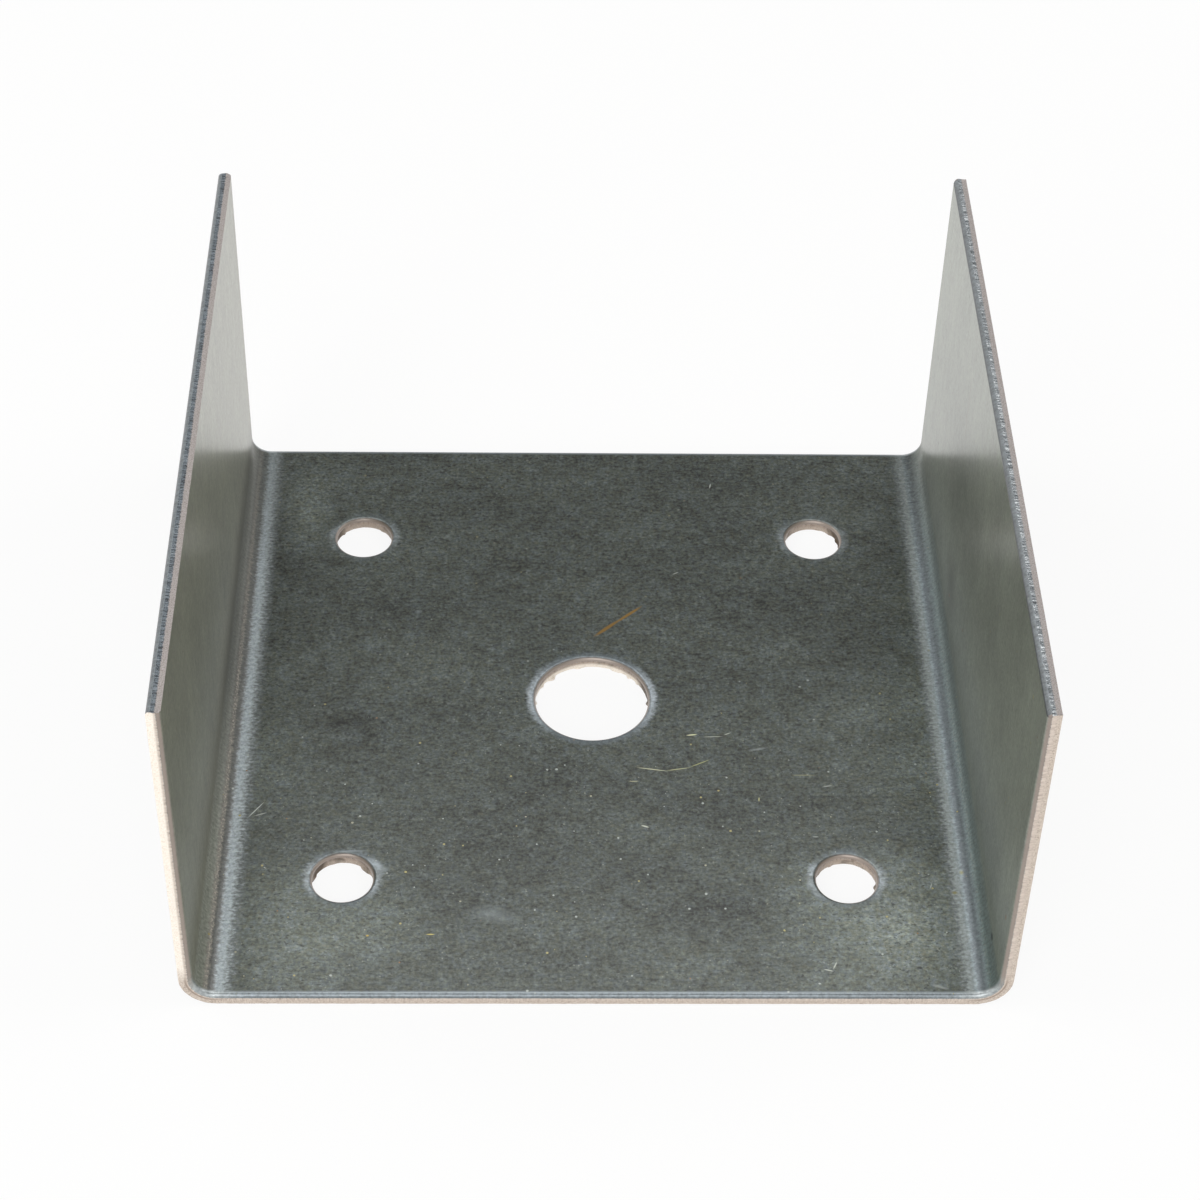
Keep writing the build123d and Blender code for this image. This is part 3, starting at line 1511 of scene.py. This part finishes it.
# %% Draw the marks
CRISP = 0.6
SOFT = 0.0
STROKES = [
    (2.1, 12.5, 2.3, 0.29, 43, "#6A4F18", 1.0, CRISP),
    (4.9, 15.0, 2.4, 0.24, 42, "#6E531C", 1.0, CRISP),
    (7.2, -12.1, 1.9, 0.08, -9, "#B4B496", 0.8, CRISP),
    (10.4, -12.05, 1.5, 0.08, 10, "#A2A37C", 0.8, CRISP),
    (13.0, -11.1, 1.5, 0.08, 27, "#9EA066", 0.6, CRISP),
    (12.2, -6.3, 0.7, 0.13, 8, "#B9B994", 0.85, CRISP),
    (14.8, -6.6, 1.3, 0.07, 2, "#A6AA9C", 0.6, CRISP),
    (16.6, -6.1, 0.5, 0.09, 25, "#A6AA9C", 0.6, CRISP),
    (20.2, -8.7, 1.4, 0.22, 12, "#838A8A", 0.6, SOFT),
    (6.1, -21.4, 0.5, 0.12, -20, "#B4B6A8", 0.8, CRISP),
    (4.9, -14.1, 0.6, 0.09, 3, "#A9A683", 0.6, CRISP),
    (19.9, -17.0, 0.35, 0.1, 85, "#A6A574", 0.7, CRISP),
    (25.5, -13.0, 1.6, 0.06, 0, "#A3A070", 0.5, CRISP),
    (18.1, -19.0, 0.16, 0.16, 0, "#0B0C0B", 0.9, CRISP),
    (-26.2, -38.3, 0.2, 0.14, 0, "#A08A38", 0.9, CRISP),
    (-19.0, -38.1, 0.5, 0.1, 0, "#B0A55C", 0.8, CRISP),
    (-11.8, -35.1, 3.2, 1.5, -12, "#767E80", 0.4, SOFT),
    (42.0, -31.7, 0.4, 0.3, 0, "#8C8340", 0.75, SOFT),
    (43.1, -28.6, 0.3, 0.4, 0, "#8C8340", 0.7, SOFT),
    (-40.3, -18.9, 1.6, 0.08, 55, "#B4B8B2", 0.75, CRISP),
    (-39.7, -19.6, 0.8, 0.1, 20, "#A4A8A2", 0.6, CRISP),
    (16.4, 40.0, 0.5, 0.09, 80, "#A0A59F", 0.8, CRISP),
    (11.2, 22.8, 0.5, 0.1, 30, "#8F948E", 0.7, CRISP),
    (39.3, -30.7, 0.5, 0.08, 70, "#A0A5A0", 0.6, CRISP),
    (28.3, -14.8, 0.6, 0.08, 8, "#A0A5A0", 0.7, CRISP),
    (26.3, -23.0, 0.4, 0.08, 0, "#9AA09A", 0.6, CRISP),
    (26.4, -43.3, 0.6, 0.09, -15, "#A9ACA2", 0.75, CRISP),
    (27.2, -42.6, 0.6, 0.09, 65, "#A9ACA2", 0.7, CRISP),
    (38.9, -45.7, 1.1, 0.25, -20, "#9AA09D", 0.6, SOFT),
    (-28.3, -41.3, 1.4, 0.7, 0, "#1E201F", 0.55, SOFT),
    (-25.4, -27.7, 1.6, 0.7, -48, "#8D969A", 0.65, SOFT),
    (-28.6, -25.4, 2.2, 0.16, 2, "#80888C", 0.7, SOFT),
    (52.4, 12.6, 4.4, 5.4, 0, "#3A2F22", 0.62, SOFT),
    (78.0, 17.0, 11.0, 0.5, 3, "#7A6C5E", 0.35, SOFT),
    (65.1, 41.8, 0.3, 0.2, 0, "#3A3A34", 0.8, CRISP),
    (57.4, 33.6, 0.3, 0.25, 0, "#33302A", 0.8, CRISP),
    (54.9, -44.5, 0.4, 0.3, 0, "#8A5226", 0.8, CRISP),
    (50.1, 12.6, 0.22, 0.3, 0, "#8A5226", 0.9, CRISP),
    (46.2, -40.0, 0.35, 0.6, 0, "#141616", 0.85, CRISP),
    (54.8, 1.4, 0.22, 0.3, 0, "#7A4A24", 0.8, CRISP),
    (84.8, -39.6, 0.25, 0.3, 0, "#A39A5E", 0.8, CRISP),
]

for *ellipse, code, strength, edge in STROKES:
    stroke = add_node(
        tree,
        "ShaderNodeMapRange",
        {"Value": out_from(*ellipse), "From Min": OUTER, "From Max": edge, "To Max": strength},
    )
    skin = add_node(
        tree,
        "ShaderNodeMix",
        {0: stroke, 6: skin, 7: paint(code)},
        data_type="RGBA",
    ).outputs[2]
print(len(STROKES), "strokes,", len(tree.nodes), "nodes in the zinc")

# %% [markdown]
# ## The zinc's gloss
#
# Fresh zinc is a metal through and through. This coat has dulled, and its thin
# grey skin of oxide scatters part of the light. So the base is four fifths
# metal. Inside the flanges, which nothing has rubbed, and on the bared rims it
# is three tenths. The grain spreads the reflection widely. The mill also leaves
# a thin clear film, and that is what shines at a flat angle: it makes the upper
# flanges pale and mirrors the base in the lower ones. A single gloss can't do
# both, so the shader is a rough metal under a smoother clear coat.
#
# The grain also stands up by two hundredths of a millimetre. That is too little
# for a mesh, so a Bump node shades it as if it stood up.

# %% Give the zinc its gloss
METAL_SHARE = 0.8
METAL_IN_FLANGES = 0.3
METAL_ROUGHNESS = 0.4
FILM_WEIGHT = 0.63
FILM_ROUGHNESS = 0.24
RELIEF = 0.15
GRAIN_HEIGHT = 0.02 * MM

matt_places = add_node(
    tree, "ShaderNodeMath", {0: in_flange, 1: bared_rim}, operation="MAXIMUM"
)
metal_share = add_node(
    tree,
    "ShaderNodeMapRange",
    {"Value": matt_places, "To Min": METAL_SHARE, "To Max": METAL_IN_FLANGES},
)
grain_relief = add_node(
    tree,
    "ShaderNodeBump",
    {"Height": fine, "Strength": RELIEF, "Distance": GRAIN_HEIGHT},
)
gloss = add_node(
    tree,
    "ShaderNodeBsdfPrincipled",
    {
        "Base Color": skin,
        "Metallic": metal_share,
        "Roughness": METAL_ROUGHNESS,
        "Normal": grain_relief,
        "Coat Weight": FILM_WEIGHT,
        "Coat Roughness": FILM_ROUGHNESS,
    },
)
add_node(tree, "ShaderNodeOutputMaterial", {"Surface": gloss})
bracket_mesh.materials.append(zinc)
print(zinc.name, "has", len(tree.nodes), "nodes")

# %% [markdown]
# ## Sheared steel: the cut faces
#
# Where the strip was cut the bare steel shows, pinkish beside the grey zinc. The
# blade shears the first half smooth, with fine lines along its way. Then the
# other half tears, which leaves a rough break that sparkles. The distance from
# the blade's side, kept on the mesh as blade_mm, says which half a place is in.
#
# Both halves are noise. For the lines it is squeezed eight times closer along
# the edge than through the thickness, so its spots become lines that cross the
# edge. Real lines and grains are finer than this render can show, so these are
# about 0.15 mm wide.

# %% Draw the blade's lines and the break's grains
BLADE_LINE = 0.16
THROUGH_SHEET = 0.8
BREAK_GRAIN = 0.14

cut = bpy.data.materials.new("sheared_steel")
cut.use_nodes = True
tree = cut.node_tree
tree.nodes.clear()

flat = add_node(tree, "ShaderNodeAttribute", attribute_name="flat_mm").outputs["Vector"]
run, along = add_node(tree, "ShaderNodeSeparateXYZ", {0: flat}).outputs[:2]
across = add_node(tree, "ShaderNodeMath", {0: run}, operation="ABSOLUTE")
from_blade = add_node(tree, "ShaderNodeAttribute", attribute_name="blade_mm").outputs["Fac"]
blade_way = add_node(
    tree,
    "ShaderNodeMapping",
    {"Vector": flat, "Scale": (1 / BLADE_LINE, 1 / BLADE_LINE, THROUGH_SHEET)},
)
blade_lines = add_node(
    tree, "ShaderNodeTexNoise", {"Vector": blade_way, "Scale": 1.0, "Detail": 2.0}
)
broken = add_node(
    tree,
    "ShaderNodeTexNoise",
    {"Vector": flat, "Scale": 1 / BREAK_GRAIN, "Detail": 3.0, "Roughness": 0.7},
)
print("nodes in the sheared steel so far:", len(tree.nodes))

# %% [markdown]
# The smooth half varies little, so its ramp is short. The break has grains in
# shadow and grains that flash, so its ramp runs from brown to nearly white. A
# soft step at the middle of the sheet leads from one to the other.

# %% Cut it smooth, then break it
BREAK_FROM = 0.8
BREAK_FULL = 1.15

smooth_steel = add_node(
    tree,
    "ShaderNodeValToRGB",
    {"Fac": blade_lines},
    stops=[(0.25, paint("#B7A89D")), (0.5, paint("#D0C3B8")), (0.75, paint("#DDD2C7"))],
)
broken_steel = add_node(
    tree,
    "ShaderNodeValToRGB",
    {"Fac": broken},
    stops=[
        (0.3, paint("#8A786B")),
        (0.45, paint("#C6B8AC")),
        (0.6, paint("#D6CABE")),
        (0.75, paint("#EDE6DB")),
    ],
)
breaks = add_node(
    tree,
    "ShaderNodeMapRange",
    {"Value": from_blade, "From Min": BREAK_FROM, "From Max": BREAK_FULL},
)
steel = add_node(
    tree,
    "ShaderNodeMix",
    {0: breaks, 6: smooth_steel, 7: broken_steel},
    data_type="RGBA",
).outputs[2]
print("nodes in the sheared steel so far:", len(tree.nodes))

# %% [markdown]
# The cut isn't the same all the way round. The flanges' tops are a little darker
# and mauve, so there the colour is multiplied by a pale mauve.

# %% Tint the flanges' tops
on_tops = add_node(
    tree, "ShaderNodeMath", {0: across, 1: RUN_TO_TOP - 0.05}, operation="GREATER_THAN"
)
mauve = add_node(
    tree,
    "ShaderNodeMix",
    {0: 1.0, 6: steel, 7: paint("#BCC0C8")},
    data_type="RGBA",
    blend_type="MULTIPLY",
).outputs[2]
steel = add_node(
    tree, "ShaderNodeMix", {0: on_tops, 6: steel, 7: mauve}, data_type="RGBA"
).outputs[2]
print("nodes in the sheared steel so far:", len(tree.nodes))

# %% [markdown]
# The torn half of the left flange's front edge is painted a pale cream: a
# painted highlight, where it catches the front light. Four conditions,
# multiplied, keep the cream to that place: up the left flange, at the front, in
# the torn half, and below the top.

# %% Paint a highlight on the left flange's front edge
up_left = add_node(
    tree, "ShaderNodeMapRange", {"Value": run, "From Min": -46.0, "From Max": -49.0}
)
at_front = add_node(tree, "ShaderNodeMath", {0: along, 1: 0.0}, operation="LESS_THAN")
pale_break = add_node(
    tree, "ShaderNodeMapRange", {"Value": from_blade, "From Min": 0.7, "From Max": 0.9}
)
not_top = add_node(tree, "ShaderNodeMath", {0: 1.0, 1: on_tops}, operation="SUBTRACT")
front_edge_highlight = up_left
for part in (at_front, pale_break, not_top):
    front_edge_highlight = add_node(tree, "ShaderNodeMath", {0: front_edge_highlight, 1: part}, operation="MULTIPLY")
cream = add_node(
    tree,
    "ShaderNodeValToRGB",
    {"Fac": broken},
    stops=[(0.3, paint("#E6D8C8")), (0.5, paint("#FBF2E6")), (0.7, paint("#FFFAF2"))],
)
steel = add_node(
    tree, "ShaderNodeMix", {0: front_edge_highlight, 6: steel, 7: cream}, data_type="RGBA"
).outputs[2]
print("nodes in the sheared steel so far:", len(tree.nodes))

# %% [markdown]
# Round the folds a darker line marks the end of the smooth half. It is where two
# distances are both small: along the strip from the middle of the fold, and
# through the sheet from the line's own depth.

# %% Draw the line round the folds
LINE_AT = 0.82

middle_of_fold = (FOLD_START + FOLD_RUN / 2) / MM
off_fold = add_node(tree, "ShaderNodeMath", {0: across, 1: middle_of_fold}, operation="SUBTRACT")
off_fold = add_node(tree, "ShaderNodeMath", {0: off_fold}, operation="ABSOLUTE")
round_fold = add_node(
    tree, "ShaderNodeMapRange", {"Value": off_fold, "From Min": 3.2, "From Max": 1.4}
)
off_line = add_node(tree, "ShaderNodeMath", {0: from_blade, 1: LINE_AT}, operation="SUBTRACT")
off_line = add_node(tree, "ShaderNodeMath", {0: off_line}, operation="ABSOLUTE")
on_line = add_node(
    tree,
    "ShaderNodeMapRange",
    {"Value": off_line, "From Min": 0.2, "From Max": 0.05, "To Max": 0.7},
)
dark_line = add_node(tree, "ShaderNodeMath", {0: round_fold, 1: on_line}, operation="MULTIPLY")
steel = add_node(
    tree, "ShaderNodeMix", {0: dark_line, 6: steel, 7: paint("#85705F")}, data_type="RGBA"
).outputs[2]
print("nodes in the sheared steel so far:", len(tree.nodes))

# %% [markdown]
# The walls of the holes are the same cut, but browner and tarnished in patches.
# The large hole's break is bright, the small ones' hardly. Every cut face that
# is nearer the middle than the folds, both across and along, belongs to a hole.

# %% Brown the walls of the holes
HOLES_WITHIN = FOLD_START / MM - 1.0
TARNISH = 1.6

from_middle = add_node(tree, "ShaderNodeMath", {0: along}, operation="ABSOLUTE")
farthest = add_node(tree, "ShaderNodeMath", {0: across, 1: from_middle}, operation="MAXIMUM")
in_hole = add_node(
    tree, "ShaderNodeMath", {0: farthest, 1: HOLES_WITHIN}, operation="LESS_THAN"
)
brown = add_node(
    tree,
    "ShaderNodeMix",
    {0: 1.0, 6: steel, 7: paint("#D8D2CE")},
    data_type="RGBA",
    blend_type="MULTIPLY",
).outputs[2]
tarnish = add_node(
    tree,
    "ShaderNodeTexNoise",
    {"Vector": flat, "Scale": 1 / TARNISH, "Detail": 3.0, "Roughness": 0.6},
)
tarnished = add_node(
    tree,
    "ShaderNodeMapRange",
    {"Value": tarnish, "From Min": 0.5, "From Max": 0.66, "To Max": 0.8},
)
brown = add_node(
    tree, "ShaderNodeMix", {0: tarnished, 6: brown, 7: paint("#5E5347")}, data_type="RGBA"
).outputs[2]
bright_break = add_node(
    tree, "ShaderNodeMapRange", {"Value": from_blade, "From Min": 0.8, "From Max": 1.2}
)
bright_share = add_node(
    tree,
    "ShaderNodeMapRange",
    {"Value": farthest, "From Min": 8.0, "From Max": 9.0, "To Min": 0.85, "To Max": 0.15},
)
bright_break = add_node(
    tree, "ShaderNodeMath", {0: bright_break, 1: bright_share}, operation="MULTIPLY"
)
brown = add_node(
    tree, "ShaderNodeMix", {0: bright_break, 6: brown, 7: cream}, data_type="RGBA"
).outputs[2]
print("nodes in the sheared steel so far:", len(tree.nodes))

# %% [markdown]
# Some walls have brown stains besides, as standing water leaves. Each is a ball
# with its middle on the wall, half way down the sheet. Its three numbers are the
# middle across and along the strip, and its reach, in millimetres.

# %% Stain them
STAINS = [(-32.9, 30.2, 2.0), (32.8, 30.6, 2.2), (6.8, 1.8, 2.6), (-32.3, -27.6, 1.6)]
HALF_WAY_DOWN = SHEET / MM / 2

for x, y, reach in STAINS:
    middle = (x, y, HALF_WAY_DOWN)
    to_stain = add_node(
        tree, "ShaderNodeVectorMath", {0: flat, 1: middle}, operation="DISTANCE"
    )
    stain = add_node(
        tree,
        "ShaderNodeMapRange",
        {
            "Value": to_stain.outputs["Value"],
            "From Min": reach,
            "From Max": 0.5 * reach,
            "To Max": 0.9,
        },
    )
    brown = add_node(
        tree, "ShaderNodeMix", {0: stain, 6: brown, 7: paint("#4E3D2B")}, data_type="RGBA"
    ).outputs[2]
steel = add_node(
    tree, "ShaderNodeMix", {0: in_hole, 6: steel, 7: brown}, data_type="RGBA"
).outputs[2]
print(len(STAINS), "stains on the walls of the holes")

# %% [markdown]
# The blade also drags soft zinc down over the steel: over half a millimetre at
# the ends and in the holes, and over nearly a millimetre on the flanges' tops.
# The break's noise is added to the distance, so the zinc ends in a ragged line.

# %% Find where zinc was wiped
WIPED = 0.5
WIPED_ON_TOPS = 0.95

wiped_to = add_node(
    tree,
    "ShaderNodeMapRange",
    {"Value": on_tops, "To Min": WIPED, "To Max": WIPED_ON_TOPS},
)
ragged_wipe = add_node(
    tree, "ShaderNodeMath", {0: broken, 1: 0.5, 2: from_blade}, operation="MULTIPLY_ADD"
)
past_wipe = add_node(
    tree, "ShaderNodeMath", {0: ragged_wipe, 1: wiped_to}, operation="SUBTRACT"
)
wipe = add_node(
    tree,
    "ShaderNodeMapRange",
    {"Value": past_wipe, "From Min": 0.32, "From Max": 0.22},
)
print("nodes in the sheared steel so far:", len(tree.nodes))

# %% [markdown]
# Wiped zinc is pitted and catches the light, so its ramp runs from black to
# nearly white. On the left flange's top it is duller, so that has another ramp.

# %% Wipe the zinc over the steel
sparkle = add_node(
    tree, "ShaderNodeMix", {0: 0.5, 2: broken, 3: blade_lines}, data_type="FLOAT"
)
wiped_zinc = add_node(
    tree,
    "ShaderNodeValToRGB",
    {"Fac": sparkle},
    stops=[
        (0.36, paint("#141617")),
        (0.45, paint("#62676A")),
        (0.54, paint("#8D9295")),
        (0.62, paint("#E4E7E8")),
    ],
)
dull_zinc = add_node(
    tree,
    "ShaderNodeValToRGB",
    {"Fac": sparkle},
    stops=[
        (0.4, paint("#0F1113")),
        (0.46, paint("#474E54")),
        (0.54, paint("#636B71")),
        (0.64, paint("#8A9298")),
    ],
)
on_left = add_node(tree, "ShaderNodeMath", {0: run, 1: 0.0}, operation="LESS_THAN")
left_top = add_node(tree, "ShaderNodeMath", {0: on_left, 1: on_tops}, operation="MULTIPLY")
wiped = add_node(
    tree,
    "ShaderNodeMix",
    {0: left_top, 6: wiped_zinc, 7: dull_zinc},
    data_type="RGBA",
).outputs[2]
steel = add_node(
    tree,
    "ShaderNodeMix",
    {0: wipe, 6: steel, 7: wiped},
    data_type="RGBA",
).outputs[2]
print("nodes in the sheared steel so far:", len(tree.nodes))

# %% [markdown]
# A torn face has no polish, so it scatters more of the light than it mirrors.

# %% Give the cut its gloss
STEEL_METAL = 0.4
STEEL_ROUGHNESS = 0.6

steel_gloss = add_node(
    tree,
    "ShaderNodeBsdfPrincipled",
    {"Base Color": steel, "Metallic": STEEL_METAL, "Roughness": STEEL_ROUGHNESS},
)
add_node(tree, "ShaderNodeOutputMaterial", {"Surface": steel_gloss})
bracket_mesh.materials.append(cut)
print(cut.name, "has", len(tree.nodes), "nodes")

# %% [markdown]
# ## The floor
#
# The bracket stands on a large white card, which throws light back up at it and
# takes its shadow. It lies a hair below the underside, so that the two faces
# don't flicker through each other.

# %% Lay the floor
HALF_CARD = 3.0
CARD_BELOW = 0.02 * MM

floor_bm = bmesh.new()
bmesh.ops.create_grid(floor_bm, x_segments=1, y_segments=1, size=HALF_CARD)
bmesh.ops.translate(floor_bm, verts=floor_bm.verts, vec=(0, 0, -CARD_BELOW))
floor_mesh = bpy.data.meshes.new("floor")
floor_bm.to_mesh(floor_mesh)
floor_bm.free()
floor = bpy.data.objects.new("floor", floor_mesh)
bpy.context.scene.collection.objects.link(floor)
print("the card is", 2 * HALF_CARD, "m wide")

# %% [markdown]
# ## White card
#
# The photograph's background is plain white, with hardly a shadow. A lit card
# alone would come out grey in places. So where the camera or a mirroring
# surface looks at it, the card glows plain white by 0.88 and shows its own lit
# surface by the rest, which keeps a trace of shadow. The Light Path node tells
# those rays from the rest. For all others it is an ordinary matt card.

# %% Whiten the card
SHOWN_WHITE = 0.88

card = bpy.data.materials.new("white_card")
card.use_nodes = True
tree = card.node_tree
tree.nodes.clear()
paths = add_node(tree, "ShaderNodeLightPath")
seen = paths.outputs["Is Camera Ray"]
for kind in ("Is Glossy Ray", "Is Transmission Ray"):
    seen = add_node(
        tree, "ShaderNodeMath", {0: seen, 1: paths.outputs[kind]}, operation="MAXIMUM"
    )
share = add_node(tree, "ShaderNodeMath", {0: seen, 1: SHOWN_WHITE}, operation="MULTIPLY")
matt = add_node(tree, "ShaderNodeBsdfDiffuse", {"Color": paint("#F4F4F2")})
white = add_node(tree, "ShaderNodeEmission", {"Color": (1, 1, 1, 1), "Strength": 1.0})
both = add_node(tree, "ShaderNodeMixShader", {0: share, 1: matt, 2: white})
add_node(tree, "ShaderNodeOutputMaterial", {"Surface": both})
floor_mesh.materials.append(card)
print(card.name, "has", len(tree.nodes), "nodes")

# %% [markdown]
# ## The surroundings
#
# What the zinc mirrors is a room, white up to 20 degrees above the horizon and
# dim from 40 degrees up. The upright flanges mirror the white part and look
# pale, and the base mirrors the dim part and looks dark. Walls and a ceiling
# could be built, but a world shader is quicker to make and to change. Its height
# coordinate is the sine of that angle, so the room is white up to 0.35 and dim
# from 0.65.

# %% Build the white room
WHITE_UP_TO = 0.35
DIM_FROM = 0.65
DIM = 0.15

world = bpy.data.worlds.new("white_studio")
bpy.context.scene.world = world
world.use_nodes = True
tree = world.node_tree
tree.nodes.clear()
height = add_node(
    tree,
    "ShaderNodeSeparateXYZ",
    {0: add_node(tree, "ShaderNodeTexCoord").outputs["Generated"]},
).outputs[2]
room = add_node(
    tree,
    "ShaderNodeMapRange",
    {
        "Value": height,
        "From Min": WHITE_UP_TO,
        "From Max": DIM_FROM,
        "To Min": 1.0,
        "To Max": DIM,
    },
)
print("nodes in the world so far:", len(tree.nodes))

# %% [markdown]
# The world does two more jobs, and the Light Path node again tells them apart.
# The camera sees it plain white, as the photograph's background is. Matt
# surfaces get an even light of half strength from it.

# %% Show it white, light with half of it
EVEN_LIGHT = 0.5

paths = add_node(tree, "ShaderNodeLightPath")
seen = paths.outputs["Is Camera Ray"]
for kind in ("Is Glossy Ray", "Is Transmission Ray"):
    seen = add_node(
        tree, "ShaderNodeMath", {0: seen, 1: paths.outputs[kind]}, operation="MAXIMUM"
    )
behind = add_node(
    tree,
    "ShaderNodeMix",
    {0: paths.outputs["Is Camera Ray"], 2: room, 3: 1.0},
    data_type="FLOAT",
)
strength = add_node(
    tree,
    "ShaderNodeMix",
    {0: seen, 2: EVEN_LIGHT, 3: behind},
    data_type="FLOAT",
)
sky = add_node(tree, "ShaderNodeBackground", {"Color": (1, 1, 1, 1), "Strength": strength})
add_node(tree, "ShaderNodeOutputWorld", {"Surface": sky})
print(world.name, "has", len(tree.nodes), "nodes")

# %% [markdown]
# ## The lamps
#
# Four square soft lights stand round the bracket and face it. The one on the
# ceiling hangs just above what the base mirrors, so the rough zinc picks up its
# edge. It lights only what mirrors, and leaves matt surfaces as they are. The
# two at the sides light the insides of the flanges, and the one in front lights
# the cut edges. The camera doesn't see any of them. Places and sizes are in
# metres.

# %% Hang the lamps
LAMPS = {
    "ceiling_light": dict(place=(0.0, 0.44, 1.43), size=1.3, watts=16.5, on_matt=False),
    "left_light": dict(place=(-1.3, 0.2, 0.9), size=0.9, watts=6.5, on_matt=True),
    "right_light": dict(place=(1.3, 0.2, 0.9), size=0.9, watts=6.5, on_matt=True),
    "front_light": dict(place=(-0.25, -1.2, 0.9), size=1.2, watts=12.5, on_matt=True),
}

for name, lamp in LAMPS.items():
    light = bpy.data.lights.new(name, "AREA")
    light.size = lamp["size"]
    light.energy = lamp["watts"]
    holder = bpy.data.objects.new(name, light)
    bpy.context.scene.collection.objects.link(holder)
    holder.location = lamp["place"]
    holder.rotation_euler = (-Vector(lamp["place"])).to_track_quat("-Z", "Y").to_euler()
    holder.visible_camera = False
    holder.visible_diffuse = lamp["on_matt"]
print(", ".join(LAMPS))

# %% [markdown]
# ## The camera
#
# The photograph was taken with a long lens from a little over a third of a metre
# away, looking down at about 44 degrees, and the camera was turned a little
# about its line of sight. These numbers come from fitting a camera to the
# bracket's edges, corners and holes. The Standard view shows colours as they
# are, so white comes out white.

# %% Stand the camera
AIM = Vector((1.291, 17.685, 1.6)) * MM
EYE = Vector((-7.914, -254.621, 260.343)) * MM
CAMERA_TURN = math.radians(1.575)
FOCAL_LENGTH = 87.588
SENSOR_WIDTH = 36.0
NEAREST = 10 * MM

lens = bpy.data.cameras.new("studio_camera")
lens.lens = FOCAL_LENGTH
lens.sensor_width = SENSOR_WIDTH
lens.clip_start = NEAREST
camera = bpy.data.objects.new("studio_camera", lens)
bpy.context.scene.collection.objects.link(camera)
look = (AIM - EYE).to_track_quat("-Z", "Y").to_matrix().to_4x4()
camera.matrix_world = Matrix.Translation(EYE) @ look @ Matrix.Rotation(CAMERA_TURN, 4, "Z")
bpy.context.scene.camera = camera
bpy.context.scene.view_settings.view_transform = "Standard"
print(f"the camera is {(AIM - EYE).length:.3f} m from what it looks at")
